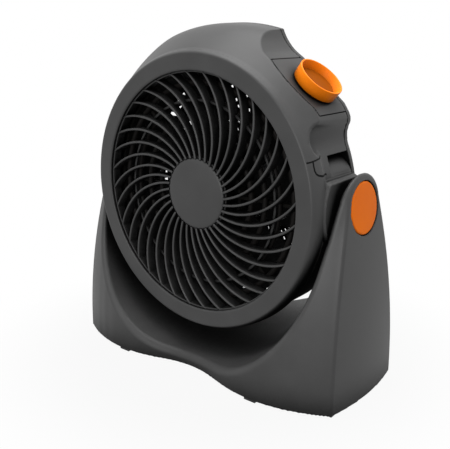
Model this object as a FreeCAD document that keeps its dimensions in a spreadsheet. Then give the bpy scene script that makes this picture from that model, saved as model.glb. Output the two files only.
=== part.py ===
"""Fan heater: a round head that tilts between the two arms of a saddle base.

Millimetres. X is to the right, Y to the back, Z up. The origin is under the middle of the base.
The head is drawn about its own fan axis, which runs along Y at the height of the pivots.
"""
import FreeCAD, Part
import Sketcher
import math
import os

V = FreeCAD.Vector
doc = FreeCAD.newDocument("fan_heater")

# Driving dimensions

SIZES = {
    # base
    "foot_height": 2.0, "foot_length": 12.0, "foot_width": 6.0, "foot_margin": 1.4,
    "base_corner_half_width": 151.7, "base_corner_depth": 54.3, "base_side_bow": 6.0,
    "base_front_depth": 60.7, "base_hollow_spread": 38.0, "base_hollow_depth": 68.3,
    "base_bulge_spread": 80.0, "base_bulge_depth": 74.8,
    "base_flank_spread": 118.5, "base_flank_depth": 68.8,
    "arm_loft_height": 205.0, "arm_loft_steps": 5.0, "arm_bow": 0.4, "arm_top_flare": 0.6,
    "arm_draw": 7.5, "arm_draw_power": 2.1, "arm_lean": 26.3, "arm_lean_power": 2.0, "base_wall": 3.0,
    "scoop_floor_front": 10.8, "scoop_floor_back": 36.0, "scoop_corner_radius": 95.0,
    "scoop_foot_half_width": 113.7, "scoop_side_lean": 6.8,
    "arm_solid_drop": 34.0, "plate_thickness": 2.5, "plate_clearance": 0.25,
    "post_radius": 4.5, "post_spread": 95.0, "post_depth": 42.0,
    # pivot
    "pivot_height": 172.1, "pivot_radius": 5.0, "running_clearance": 0.05,
    "cap_radius": 23.7, "cap_clearance": 0.25, "cap_recess": 0.4, "cap_seat": 138.4,
    "bolt_head_radius": 9.0, "bolt_head_height": 3.0, "bolt_inner_end": 119.5,
    "arm_boss_face": 132.0, "arm_boss_radius": 20.0,
    "washer_radius": 17.0, "washer_clearance": 0.05,
    "pad_reach": 130.5, "pad_length": 66.0, "pad_height": 52.0, "pad_step": 4.5,
    "pad_front_slope": 8.0, "pad_edge_slope": 2.0, "pad_sweep_clearance": 1.5,
    "bush_radius": 8.0, "bush_inner_end": 118.0,
    # head shell
    "head_front": 54.7, "lip_radius": 110.0, "lip_round": 1.5,
    "crease_radius": 124.5, "crease_setback": 0.4, "shoulder_radius": 129.4, "shoulder_setback": 15.6,
    "drum_setback": 25.0, "drum_radius": 126.1, "seam_depth": 12.4, "hood_depth": 17.9,
    "shell_wall": 2.5,
    "flare_share": 0.29, "flare_height": 138.7, "crown_share": 0.56, "crown_height": 148.1,
    "brow_share": 0.78, "brow_height": 149.4,
    "hood_height": 149.6, "hood_arch_radius": 188.7, "hood_end": 40.0,
    "left_side": 117.2, "left_shoulder_distance": 150.0,
    "shoulder_angle": 49.3, "shoulder_distance": 135.8, "shoulder_top": 27.0, "shoulder_low": 29.0,
    "panel_low": 36.5, "notch_corner": 46.7, "notch_sag": 2.8,
    "grip_crest_side": 117.2, "grip_crest_height": 69.3, "grip_bulge": 1.2,
    "grip_side": 115.0, "grip_low": 56.2, "grip_hollow": 0.5,
    "latch_window_front": 21.0, "latch_window_low": 35.0, "latch_window_height": 8.8,
    # front grille
    "vane_count": 36.0, "vane_width": 2.6, "vane_depth": 9.0, "vane_front_setback": 2.9,
    "vane_radius": 73.0, "vane_turn": 73.0, "vane_root_angle": 12.0, "vane_root_clearance": 0.2,
    "hub_radius": 32.6, "hub_thickness": 3.5, "hub_seat_width": 2.0, "hub_dome": 1.0,
    "hub_edge": 4.0, "hub_edge_drop": 0.4,
    "grille_ring_width": 5.0, "grille_ring_radius": 116.0, "support_ring_radius": 84.0,
    "support_ring_width": 2.4, "support_ring_depth": 3.0,
    # air path
    "duct_radius": 112.0, "duct_wall": 2.5, "heater_depth": 8.0, "heater_setback": 7.0,
    "heater_rim": 2.5, "heater_clearance": 0.1, "heater_ring_count": 4.0, "heater_ring_first": 54.0,
    "heater_ring_pitch": 15.0, "heater_ring_radius": 2.6, "heater_spoke_count": 8.0,
    "heater_spoke_width": 3.0, "heater_core_radius": 40.0, "cutout_radius": 7.0, "cutout_height": 6.0,
    "impeller_radius": 105.0, "impeller_hub_radius": 26.0, "impeller_nose_radius": 22.0,
    "impeller_depth": 24.0, "impeller_setback": 34.0, "impeller_wall": 3.0,
    "blade_count": 7.0, "blade_thickness": 2.2, "blade_chord_angle": 42.0, "blade_camber": 3.0,
    "blade_root_share": 0.9, "blade_sweep": 8.0,
    "shaft_radius": 4.0, "shaft_nose": 6.4, "nut_radius": 11.0, "nut_length": 8.0, "nut_tip_radius": 7.7,
    "nut_shoulder": 4.8,
    "motor_radius": 38.0, "motor_gap": 4.5, "motor_length": 40.0, "motor_boss_radius": 14.0,
    "motor_boss_length": 3.0, "motor_bolt_circle": 28.0, "motor_bolt_count": 3.0,
    # rear cover
    "rear_plate_taper": 1.0, "inlet_radius": 115.0, "inlet_clearance": 0.2,
    "dome_rim": 9.0, "dome_shoulder_radius": 103.0, "dome_shoulder_depth": 24.0, "dome_wall": 2.5,
    "dome_flat_radius": 95.0, "mount_disc_radius": 44.0, "slot_rows": 5.0, "slot_sectors": 36.0,
    "slot_bar": 3.2,
    "gland_radius": 8.0, "gland_flange_radius": 11.0, "gland_flange": 2.0, "gland_bore": 4.5,
    "gland_side": 30.0, "gland_height": 130.0, "gland_clearance": 0.1,
    "lug_circle": 120.0, "lug_radius": 4.8, "lug_length": 10.0, "lug_angle": 45.0, "lug_count": 4.0,
    # control panel and knob
    "panel_thickness": 4.5, "panel_clearance": 0.2,
    "knob_radius": 20.8, "knob_height": 11.2, "knob_taper": 1.1, "knob_lift": 1.0,
    "knob_rim": 1.8, "knob_dish_depth": 6.0, "knob_dish_slope": 5.0, "knob_forward": 8.2, "knob_drop": 7.8,
    "spindle_radius": 3.0, "spindle_reach": 4.0, "spindle_clearance": 0.08,
    "switch_width": 22.0, "switch_depth": 6.0,
    # fasteners
    "screw_radius": 2.0, "screw_head_radius": 3.6, "screw_head_height": 2.2, "screw_length": 12.0,
}

sheet = doc.addObject("Spreadsheet::Sheet", "Dimensions")
for row, (alias, value) in enumerate(SIZES.items(), start=1):
    sheet.set("A%d" % row, alias)
    sheet.set("B%d" % row, str(value))
    sheet.setAlias("B%d" % row, alias)
doc.recompute()


def size(alias):
    """The number in a cell of the sheet."""
    return float(sheet.get(alias))


def cells(text):
    """An expression on the sheet: every alias in the text is read from it."""
    out = []
    word = ""
    for letter in text + " ":
        if letter.isalpha() or letter == "_":
            word += letter
            continue
        out.append("Dimensions." + word if word in SIZES else word)
        out.append(letter)
        word = ""
    return "".join(out).strip()


def value_of(text):
    """The number that such an expression stands for."""
    probe.setExpression("value", cells(text))
    doc.recompute([probe])
    return float(probe.value)


probe = doc.addObject("App::FeaturePython", "probe")
probe.addProperty("App::PropertyFloat", "value")


# Building blocks

def origin_plane(body, role):
    return [item for item in body.Origin.OriginFeatures if item.Role == role][0]


def new_body(label):
    body = doc.addObject("PartDesign::Body", label)
    body.Label = label
    return body


def sketch_on(body, role, offset="0"):
    """An empty sketch on one of the body's origin planes, moved along its normal."""
    sketch = body.newObject("Sketcher::SketchObject", body.Name + "_sketch")
    sketch.AttachmentSupport = [(origin_plane(body, role), "")]
    sketch.MapMode = "FlatFace"
    sketch.setExpression("AttachmentOffset.Base.z", cells(offset))
    return sketch


def bind(sketch, kind, geometry, vertex, text):
    """Fixes one coordinate of a vertex, or a radius, by an expression on the sheet."""
    value = value_of(text)
    if kind == "Radius":
        constraint = Sketcher.Constraint(kind, geometry, value)
    else:
        constraint = Sketcher.Constraint(kind, -1, 1, geometry, vertex, value)
    index = sketch.addConstraint(constraint)
    sketch.setExpression("Constraints[%d]" % index, cells(text))


def closed_outline(sketch, corners):
    """Straight runs through the corners, each corner bound to the sheet."""
    points = [V(value_of(u), value_of(v), 0) for u, v in corners]
    first = sketch.GeometryCount
    count = len(points)
    for i in range(count):
        sketch.addGeometry(Part.LineSegment(points[i], points[(i + 1) % count]), False)
    for i in range(count):
        sketch.addConstraint(Sketcher.Constraint("Coincident", first + i, 2, first + (i + 1) % count, 1))
    for i, (u, v) in enumerate(corners):
        bind(sketch, "DistanceX", first + i, 1, u)
        bind(sketch, "DistanceY", first + i, 1, v)


def circle(sketch, u, v, radius):
    """A circle with its centre and radius bound to the sheet."""
    centre = V(value_of(u), value_of(v), 0)
    index = sketch.addGeometry(Part.Circle(centre, V(0, 0, 1), value_of(radius)), False)
    bind(sketch, "DistanceX", index, 3, u)
    bind(sketch, "DistanceY", index, 3, v)
    bind(sketch, "Radius", index, 0, radius)


def turn(body, sketch, axis):
    """Revolves a sketch about its own horizontal or vertical axis."""
    feature = body.newObject("PartDesign::Revolution", body.Name + "_turn")
    feature.Profile = sketch
    feature.ReferenceAxis = (sketch, [axis])
    feature.Angle = 360
    return feature


def pad(body, sketch, length, reverse=False):
    feature = body.newObject("PartDesign::Pad", body.Name + "_pad")
    feature.Profile = sketch
    feature.setExpression("Length", cells(length))
    feature.Reversed = reverse
    return feature


def pocket_through(body, sketch):
    """Cuts a sketch through the whole body, both ways."""
    before = body.Tip.Shape.Volume
    feature = body.newObject("PartDesign::Pocket", body.Name + "_pocket")
    feature.Profile = sketch
    feature.Type = "ThroughAll"
    feature.Midplane = True
    doc.recompute()
    if feature.Shape.Volume >= before:
        raise RuntimeError(body.Label + ": the pocket cuts nothing")
    return feature


def around(body, features, role, count):
    """Repeats features evenly about one of the body's origin axes."""
    pattern = body.newObject("PartDesign::PolarPattern", body.Name + "_pattern")
    pattern.Originals = features
    pattern.Axis = (origin_plane(body, role), [""])
    pattern.Angle = 360
    pattern.setExpression("Occurrences", cells(count))
    body.Tip = pattern
    return pattern


def fan_axis_turned(label, corners):
    """A piece turned about the fan axis: corners are (radius, y)."""
    body = new_body(label)
    sketch = sketch_on(body, "XY_Plane")
    closed_outline(sketch, corners)
    turn(body, sketch, "V_Axis")
    body.setExpression("Placement.Base.z", cells("pivot_height"))
    return body


def pivot_turned(label, corners, side):
    """A piece turned about the pivot axis: corners are (x, radius), side is 1 right or -1 left."""
    body = new_body(label)
    sketch = sketch_on(body, "XY_Plane")
    closed_outline(sketch, [("%d * (%s)" % (side, x), r) for x, r in corners])
    turn(body, sketch, "H_Axis")
    body.setExpression("Placement.Base.z", cells("pivot_height"))
    return body


def moulding(label, shape, up=0.0):
    """A piece whose form is set directly, drawn about the fan axis when it is lifted to it."""
    feature = doc.addObject("Part::Feature", label)
    feature.Label = label
    feature.Shape = shape
    feature.Placement = FreeCAD.Placement(V(0, 0, up), FreeCAD.Rotation())
    return feature


def solid_of_revolution(edges):
    """Revolves a closed run of edges in the XY plane about the Y axis."""
    face = Part.Face(Part.Wire(Part.__sortEdges__(edges)))
    return face.revolve(V(0, 0, 0), V(0, 1, 0), 360)


def polyline(points):
    """Straight edges through the points."""
    return [Part.LineSegment(a, b).toShape() for a, b in zip(points, points[1:])]


def bowed(start, end, sag):
    """An arc across the head from start to end, its middle moved square to the run by the sag."""
    chord = end - start
    aside = V(chord.z, 0, -chord.x).normalize()
    return Part.Arc(start, (start + end) * 0.5 + aside * sag, end).toShape()


# Base cradle

SHELL_FLOOR = size("foot_height")
PIVOT = size("pivot_height")
OVERLAP = 1.0


def plan_outline(height, inset):
    """The base seen from above at a height over its floor: a wavy front and back, and bowed sides.

    The higher the section, the more its front and back lean in and its sides draw in.
    """
    rise = height / (PIVOT - SHELL_FLOOR)
    left_over = 1 - height / size("arm_loft_height")
    lean = size("arm_lean") * rise ** size("arm_lean_power") + inset
    draw = size("arm_draw") * rise ** size("arm_draw_power") + inset
    bow = size("arm_bow") + (size("base_side_bow") - size("arm_bow")) * left_over ** 2
    corner_x = size("base_corner_half_width") - draw
    corner_y = size("base_corner_depth") - lean
    squeeze = corner_x / size("base_corner_half_width")
    half_run = []
    for swell in ("hollow", "bulge", "flank"):
        half_run.append((size("base_%s_spread" % swell) * squeeze, size("base_%s_depth" % swell) - lean))
    half_run.append((corner_x, corner_y))
    middle = [(0, size("base_front_depth") - lean)]
    run = [(-x, y) for x, y in reversed(half_run)] + middle + half_run
    z = SHELL_FLOOR + height
    edges = []
    for side in (-1, 1):
        curve = Part.BSplineCurve()
        curve.interpolate([V(x, side * y, z) for x, y in run])
        edges.append(curve.toShape())
        start = V(side * corner_x, -corner_y, z)
        end = V(side * corner_x, corner_y, z)
        edges.append(Part.Arc(start, V(side * (corner_x + bow), 0, z), end).toShape())
    return Part.Wire(Part.__sortEdges__(edges))


def base_block(inset):
    """The leaning block that the cradle is cut from, drawn in by a wall."""
    steps = int(size("arm_loft_steps"))
    heights = [size("arm_loft_height") * step / steps for step in range(steps + 1)]
    return Part.makeLoft([plan_outline(height, inset) for height in heights], True, False)


def scoop_section(y, floor, grow):
    """The hollow between the arms at one depth: a flat floor, round corners and leaning sides."""
    lean = math.radians(size("scoop_side_lean"))
    radius = size("scoop_corner_radius") + grow
    floor = floor - grow
    foot = size("scoop_foot_half_width") + grow + (floor - SHELL_FLOOR) * math.tan(lean)
    reach = radius * math.tan((math.pi / 2 - lean) / 2)
    middle = math.pi / 4 + lean / 2
    top = SHELL_FLOOR + size("arm_loft_height") + OVERLAP
    centre = V(foot - reach, y, floor + radius)
    start = V(foot - reach, y, floor)
    bend = centre + V(math.sin(middle - lean), 0, -math.cos(middle - lean)) * radius
    end = V(foot + reach * math.sin(lean), y, floor + reach * math.cos(lean))
    brim = V(foot + (top - floor) * math.tan(lean), y, top)

    def mirrored(point):
        return V(-point.x, point.y, point.z)

    edges = [
        Part.LineSegment(mirrored(start), start).toShape(),
        Part.Arc(start, bend, end).toShape(),
        Part.LineSegment(end, brim).toShape(),
        Part.LineSegment(brim, mirrored(brim)).toShape(),
        Part.LineSegment(mirrored(brim), mirrored(end)).toShape(),
        Part.Arc(mirrored(end), mirrored(bend), mirrored(start)).toShape(),
    ]
    return Part.Wire(edges)


def scoop(grow):
    """The hollow that the head swings in: its floor climbs to the back."""
    reach = size("base_bulge_depth") + OVERLAP
    rise = (size("scoop_floor_back") - size("scoop_floor_front")) / 2
    slope = rise / size("base_front_depth")
    middle = SHELL_FLOOR + size("scoop_floor_front") + rise
    front = scoop_section(-reach, middle - slope * reach, grow)
    back = scoop_section(reach, middle + slope * reach, grow)
    return Part.makeLoft([front, back], True, True)


def arm_round():
    """Everything below the pivots, and above them the rounded ends of the arms."""
    corner_x = size("base_corner_half_width") - size("arm_draw")
    corner_radius = size("base_corner_depth") - size("arm_lean")
    slope = size("arm_top_flare")
    spare = size("base_side_bow")
    root_x = size("lip_radius")
    root_radius = corner_radius + slope * (corner_x - root_x)
    tip_radius = corner_radius - slope * spare
    length = corner_x + spare - root_x
    keep = Part.makeBox(SPAN, SPAN, PIVOT - SHELL_FLOOR, V(-SPAN / 2, -SPAN / 2, SHELL_FLOOR))
    for side in (-1, 1):
        root = V(side * root_x, 0, PIVOT)
        keep = keep.fuse(Part.makeCone(root_radius, tip_radius, length, root, V(side, 0, 0)))
    return keep


def pivot_cylinder(radius, start, end, side):
    """A cylinder on the pivot axis between two distances from the middle."""
    return Part.makeCylinder(radius, end - start, V(side * start, 0, PIVOT), V(side, 0, 0))


def screw_posts():
    """Where the base plate is screwed: one place under each corner."""
    spread = size("post_spread")
    depth = size("post_depth")
    return [V(x, y, SHELL_FLOOR) for x in (-spread, spread) for y in (-depth, depth)]


SPAN = 2 * (size("base_corner_half_width") + size("base_side_bow") + OVERLAP)
WALL = size("base_wall")
outer_block = base_block(0)
cradle_outside = outer_block.cut(scoop(0)).common(arm_round())
cavity_top = PIVOT - size("arm_solid_drop")
cavity = base_block(WALL).cut(scoop(WALL))
cavity = cavity.common(Part.makeBox(SPAN, SPAN, cavity_top, V(-SPAN / 2, -SPAN / 2, 0)))
plate_top = SHELL_FLOOR + size("plate_thickness") + size("plate_clearance")
cradle = cradle_outside.cut(cavity)
for place in screw_posts():
    post = Part.makeCylinder(size("post_radius"), PIVOT / 2, V(place.x, place.y, plate_top))
    hole_start = V(place.x, place.y, plate_top - OVERLAP)
    hole = Part.makeCylinder(size("screw_radius"), size("screw_length"), hole_start)
    cradle = cradle.fuse(post.common(cavity)).cut(hole)
sweep_length = (size("pad_length") + size("pad_front_slope")) / 2
sweep_height = (size("pad_height") + size("pad_edge_slope")) / 2
pad_sweep = math.hypot(sweep_length, sweep_height) + size("pad_sweep_clearance")
seat_floor = size("cap_seat") - size("bolt_head_height")
bolt_room = size("pivot_radius") + size("running_clearance")
for side in (-1, 1):
    boss = pivot_cylinder(size("arm_boss_radius"), size("arm_boss_face"), size("cap_seat"), side)
    swing_room = pivot_cylinder(pad_sweep, size("lip_radius"), size("arm_boss_face"), side)
    bore = pivot_cylinder(bolt_room, size("lip_radius"), SPAN / 2, side)
    counterbore = pivot_cylinder(size("bolt_head_radius") + size("cap_clearance"), seat_floor, SPAN / 2, side)
    recess = pivot_cylinder(size("cap_radius") + size("cap_clearance"), size("cap_seat"), SPAN / 2, side)
    cradle = cradle.fuse(boss).cut(swing_room).cut(recess).cut(counterbore).cut(bore)
moulding("base_cradle", cradle.removeSplitter())

# Base plate, feet and screws

plate_bottom = SHELL_FLOOR + size("plate_clearance")
slab = Part.makeBox(SPAN, SPAN, size("plate_thickness"), V(-SPAN / 2, -SPAN / 2, plate_bottom))
plate = base_block(WALL + size("plate_clearance")).common(slab)
sunk_head = size("screw_head_height") / 2
screw_room = size("screw_radius") + size("plate_clearance")
screws = []
for place in screw_posts():
    shank_start = V(place.x, place.y, plate_bottom)
    plate = plate.cut(Part.makeCylinder(screw_room, size("screw_length"), shank_start))
    shank = Part.makeCylinder(size("screw_radius"), size("screw_length") - OVERLAP, shank_start)
    head = Part.makeCylinder(size("screw_head_radius"), sunk_head, shank_start - V(0, 0, sunk_head))
    screws.append(shank.fuse(head))
moulding("base_plate", plate)
moulding("base_screws", Part.makeCompound(screws))

foot_length = size("foot_length")
foot_width = size("foot_width")
bulge_foot = (size("base_bulge_spread"), size("base_bulge_depth") - size("foot_margin") - foot_width)
corner_foot = (size("base_corner_half_width") - size("foot_margin") - foot_length / 2,
               size("base_corner_depth") - foot_width / 2 - foot_width)
feet = []
for side_x in (-1, 1):
    for side_y in (-1, 1):
        for centre_x, near_y in (bulge_foot, corner_foot):
            low_y = near_y if side_y > 0 else -near_y - foot_width
            corner = V(side_x * centre_x - foot_length / 2, low_y, 0)
            feet.append(Part.makeBox(foot_length, foot_width, SHELL_FLOOR, corner))
moulding("feet", Part.makeCompound(feet))

# Pivots

SIDES = {"left": -1, "right": 1}
for name, side in SIDES.items():
    cap = pivot_cylinder(size("cap_radius"), size("cap_seat"), SPAN / 2, side)
    face = outer_block.copy()
    face.translate(V(-side * size("cap_recess"), 0, 0))
    moulding("pivot_cap_" + name, cap.common(face))
    pivot_turned("pivot_bolt_" + name, [
        ("bolt_inner_end", "0"), ("cap_seat", "0"), ("cap_seat", "bolt_head_radius"),
        ("cap_seat - bolt_head_height", "bolt_head_radius"), ("cap_seat - bolt_head_height", "pivot_radius"),
        ("bolt_inner_end", "pivot_radius")], side)
    pivot_turned("friction_washer_" + name, [
        ("pad_reach + washer_clearance", "pivot_radius + running_clearance"),
        ("arm_boss_face - washer_clearance", "pivot_radius + running_clearance"),
        ("arm_boss_face - washer_clearance", "washer_radius"),
        ("pad_reach + washer_clearance", "washer_radius")], side)
    pivot_turned("pivot_bush_" + name, [
        ("bush_inner_end", "pivot_radius + running_clearance"),
        ("pad_reach", "pivot_radius + running_clearance"),
        ("pad_reach", "bush_radius"), ("bush_inner_end", "bush_radius")], side)

# Front housing

FRONT = -size("head_front")
CREASE = FRONT + size("crease_setback")
SEAM = size("seam_depth")
BACK = size("hood_depth")
SHOULDER = math.radians(size("shoulder_angle"))
NORMAL = V(math.cos(SHOULDER), 0, math.sin(SHOULDER))
ALONG = V(-math.sin(SHOULDER), 0, math.cos(SHOULDER))


def on_shoulder(along, out, y=0.0):
    """A point on the flat shoulder: along it upwards, and out from its surface."""
    return ALONG * along + NORMAL * (size("shoulder_distance") + out) + V(0, y, 0)


def shoulder_box(along_low, along_high, out_low, out_high, y_low, y_high):
    """A box square to the shoulder."""
    corners = [on_shoulder(a, o, y_low) for a, o in
               ((along_low, out_low), (along_high, out_low), (along_high, out_high), (along_low, out_high))]
    face = Part.Face(Part.makePolygon(corners + corners[:1]))
    return face.extrude(V(0, y_high - y_low, 0))


def drum():
    """The bezel round the outlet, rounded off behind its crease, and the plain drum behind it."""
    seat_y = FRONT + size("vane_front_setback")
    roll = size("lip_round")
    crease = V(size("crease_radius"), CREASE, 0)
    shoulder = V(size("shoulder_radius"), FRONT + size("shoulder_setback"), 0)
    half_way = math.sqrt(0.5)
    round_off = crease + V((shoulder.x - crease.x) * half_way, (shoulder.y - crease.y) * (1 - half_way), 0)
    inner = size("drum_radius") - size("shell_wall")
    rim = [V(inner, SEAM, 0), V(inner, seat_y + size("grille_ring_width"), 0),
           V(size("grille_ring_radius"), seat_y, 0), V(size("lip_radius"), seat_y, 0),
           V(size("lip_radius"), FRONT + roll, 0), V(size("lip_radius") + roll, FRONT, 0), crease]
    outer = size("drum_radius")
    back = [shoulder, V(outer, FRONT + size("drum_setback"), 0), V(outer, SEAM, 0), V(inner, SEAM, 0)]
    edges = polyline(rim) + [Part.Arc(crease, round_off, shoulder).toShape()] + polyline(back)
    return solid_of_revolution(edges)


def arch(y, top, radius, low):
    """A closed arch across the head: its crown, and a level line between its feet."""
    foot = math.sqrt(radius ** 2 - (low - top + radius) ** 2)
    left = V(-foot, y, low)
    right = V(foot, y, low)
    return Part.Wire([Part.Arc(left, V(0, y, top), right).toShape(), Part.LineSegment(right, left).toShape()])


def hood_arch(share, top, inset, low):
    """The hood a share of the way from the crease to its back, drawn in by a wall: flatter to the back."""
    curve = (1 - share) / size("crease_radius") + share / size("hood_arch_radius")
    y = CREASE + inset + share * (BACK - CREASE - inset)
    return arch(y, top - inset, 1 / curve - inset, low)


def side_cutter(sink):
    """What is cut off beside the hood: finger notch, flat shoulder, finger grip and the open side."""
    bend = size("hood_arch_radius")
    corner = size("notch_corner")
    top = V(corner, 0, size("hood_height") - bend + math.sqrt(bend ** 2 - corner ** 2))
    panel_top = on_shoulder(size("shoulder_top"), 0)
    flat_end = on_shoulder(-size("shoulder_low"), 0)
    crest = V(size("grip_crest_side"), 0, size("grip_crest_height"))
    grip_end = V(size("grip_side"), 0, size("grip_low"))
    far = 2 * size("hood_height")
    outer = [grip_end, V(grip_end.x, 0, 0), V(far, 0, 0), V(far, 0, far), V(top.x, 0, far), top]
    edges = [bowed(top, panel_top, size("notch_sag")), Part.LineSegment(panel_top, flat_end).toShape(),
             bowed(flat_end, crest, -size("grip_bulge")), bowed(crest, grip_end, size("grip_hollow"))]
    face = Part.Face(Part.Wire(edges + polyline(outer)))
    cutter = face.extrude(V(0, 2 * far, 0))
    cutter.translate(V(0, -far, 0) - NORMAL * sink)
    return cutter


def left_cutter(sink):
    """What is cut off on the other side: a plain slope and an upright side."""
    side = size("left_side")
    far = 2 * size("hood_height")
    crown = size("left_shoulder_distance") * math.sqrt(2)
    corners = [V(-side, 0, 0), V(-side, 0, crown - side), V(0, 0, crown), V(0, 0, far), V(-far, 0, far),
               V(-far, 0, 0)]
    cutter = Part.Face(Part.makePolygon(corners + corners[:1])).extrude(V(0, 2 * far, 0))
    cutter.translate(V(sink, -far, -sink))
    return cutter


def trim_sides(shape, sink):
    """Cuts the two sides of the hood."""
    return shape.cut(side_cutter(sink)).cut(left_cutter(sink))


def slice_of(shape, start, end):
    """The part of a shape between two depths."""
    return shape.common(Part.makeBox(SPAN, end - start, SPAN, V(-SPAN / 2, start, -SPAN / 2)))


def hood(inset, sink, low):
    """The hood that swells behind the bezel, between its two cut sides."""
    crests = [(0.0, size("crease_radius")), (size("flare_share"), size("flare_height")),
              (size("crown_share"), size("crown_height")), (size("brow_share"), size("brow_height")),
              (1.0, size("hood_height"))]
    arches = [hood_arch(share, top, inset, low) for share, top in crests]
    return trim_sides(Part.makeLoft(arches, True, False), sink)


def pivot_pad(side):
    """A flat raised pad on the side of the drum, with a long slope in front and steep edges."""
    reach = size("pad_reach")
    length = size("pad_length") / 2
    height = size("pad_height") / 2
    step = size("pad_step")
    root = size("bush_inner_end") + size("shell_wall")

    def frame(x, half_length, half_height):
        corners = [V(side * x, y * half_length, z * half_height)
                   for y, z in ((-1, -1), (1, -1), (1, 1), (-1, 1))]
        return Part.makePolygon(corners + corners[:1])

    wide = length + size("pad_front_slope")
    tall = height + size("pad_edge_slope")
    frames = [frame(root, wide, tall), frame(reach - step, wide, tall), frame(reach, length, height)]
    block = Part.makeLoft(frames, True, True)
    front_y = FRONT + size("shoulder_setback")
    return block.common(Part.makeBox(2 * reach, SEAM - front_y, 2 * reach, V(-reach, front_y, -reach)))


def drum_bore():
    """The room inside the drum, with the seat of the front grille."""
    seat_y = FRONT + size("vane_front_setback")
    inner = size("drum_radius") - size("shell_wall")
    return solid_of_revolution(polyline([
        V(0, seat_y, 0), V(size("grille_ring_radius"), seat_y, 0),
        V(inner, seat_y + size("grille_ring_width"), 0),
        V(inner, SEAM + OVERLAP, 0), V(0, SEAM + OVERLAP, 0), V(0, seat_y, 0)]))


def outlet():
    """The opening in the bezel: straight, with a rolled front edge."""
    lip = size("lip_radius")
    roll = size("lip_round")
    back_y = FRONT + size("vane_front_setback") + OVERLAP
    return solid_of_revolution(polyline([
        V(0, FRONT, 0), V(lip + roll, FRONT, 0), V(lip, FRONT + roll, 0), V(lip, back_y, 0), V(0, back_y, 0),
        V(0, FRONT, 0)]))


def hood_room():
    """The hollow between the hood and the drum, open at the back."""
    wall = size("shell_wall")
    room = hood(wall, wall + size("panel_thickness"), size("hood_end") + wall)
    near = size("drum_radius")
    far = size("hood_height")
    front_y = FRONT + size("shoulder_setback")
    tube = solid_of_revolution(polyline([
        V(near, front_y, 0), V(far, front_y, 0), V(far, SEAM, 0), V(near, SEAM, 0), V(near, front_y, 0)]))
    return room.common(tube)


def knob_place(out):
    """A point on the knob's axis, out from the shoulder."""
    return on_shoulder(-size("knob_drop"), out, -size("knob_forward"))


def along_knob(radius, low, high):
    """A cylinder on the knob's axis between two distances from the shoulder."""
    return Part.makeCylinder(radius, high - low, knob_place(low), NORMAL)


def switch_box(grow):
    """The room of the switch under the panel."""
    half = size("switch_width") / 2 + grow
    middle = -size("knob_drop")
    back = -size("panel_thickness")
    front_y = -size("knob_forward")
    return shoulder_box(middle - half, middle + half, back - size("switch_depth") - grow, back,
                        front_y - half, front_y + half)


def panel_block(gap):
    """The room of the control panel: the flat shoulder and the turn below it, behind the bezel."""
    return shoulder_box(gap - size("panel_low"), size("shoulder_top") - gap, -size("panel_thickness"),
                        size("grip_bulge"), FRONT, SEAM)


whole_hood = hood(0, 0, size("hood_end"))
hood_solid = slice_of(whole_hood, FRONT, SEAM)
panel_gap = size("panel_clearance")
spindle_hole = along_knob(size("spindle_radius") + size("spindle_clearance"), -SPAN, SPAN)
housing = drum().fuse(hood_solid)
for side in SIDES.values():
    housing = housing.fuse(pivot_pad(side))
housing = housing.cut(drum_bore()).cut(outlet()).cut(hood_room())
housing = housing.cut(panel_block(0)).cut(switch_box(panel_gap))
window_front = size("latch_window_front")
for side in SIDES.values():
    bush = Part.makeCylinder(size("bush_radius"), SPAN, V(side * size("lip_radius"), 0, 0), V(side, 0, 0))
    near_x = size("lip_radius") if side > 0 else -SPAN
    window = Part.makeBox(SPAN - size("lip_radius"), SEAM + window_front, size("latch_window_height"),
                          V(near_x, -window_front, size("latch_window_low")))
    housing = housing.cut(bush).cut(window)
moulding("control_panel", hood_solid.common(panel_block(panel_gap)).cut(spindle_hole), PIVOT)
moulding("rotary_switch", switch_box(0).cut(spindle_hole), PIVOT)

# Front grille and its hub disc

GRILLE_FRONT = "(vane_front_setback - head_front)"
GRILLE_BACK = "(vane_front_setback - head_front + vane_depth)"
VANE_ROOT = "(hub_radius + vane_root_clearance)"
VANE_CENTRE_X = VANE_ROOT + " - vane_radius * sin(vane_root_angle)"
VANE_CENTRE_Y = "vane_radius * cos(vane_root_angle)"


def vane_arc(sketch, radius, start, end):
    """One long side of a vane: an arc with its centre, radius and ends bound to the sheet."""
    centre = V(value_of(VANE_CENTRE_X), value_of(VANE_CENTRE_Y), 0)
    low = math.radians(size("vane_root_angle") - 90)
    high = low + math.radians(size("vane_turn"))
    arc = Part.ArcOfCircle(Part.Circle(centre, V(0, 0, 1), value_of(radius)), low, high)
    index = sketch.addGeometry(arc, False)
    bind(sketch, "DistanceX", index, 3, VANE_CENTRE_X)
    bind(sketch, "DistanceY", index, 3, VANE_CENTRE_Y)
    bind(sketch, "Radius", index, 0, radius)
    bind(sketch, "DistanceX", index, 1, "%s + (%s) * %s" % (VANE_CENTRE_X, radius, start))
    bind(sketch, "DistanceY", index, 2, "%s + (%s) * %s" % (VANE_CENTRE_Y, radius, end))
    return index


def vane_outline(sketch):
    """A vane seen from the front: a strip of even width along an arc, swept towards its outer end."""
    start = "sin(vane_root_angle)"
    end = "(0 - cos(vane_root_angle + vane_turn))"
    outer = vane_arc(sketch, "vane_radius + vane_width / 2", start, end)
    inner = vane_arc(sketch, "vane_radius - vane_width / 2", start, end)
    for vertex in (1, 2):
        ends = [sketch.getPoint(curve, vertex) for curve in (outer, inner)]
        line = sketch.addGeometry(Part.LineSegment(ends[0], ends[1]), False)
        sketch.addConstraint(Sketcher.Constraint("Coincident", line, 1, outer, vertex))
        sketch.addConstraint(Sketcher.Constraint("Coincident", line, 2, inner, vertex))


def ring(body, inner, outer, front, back):
    """A plain ring about the fan axis, added to a body."""
    sketch = sketch_on(body, "XY_Plane")
    closed_outline(sketch, [(inner, front), (outer, front), (outer, back), (inner, back)])
    return turn(body, sketch, "V_Axis")


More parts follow.
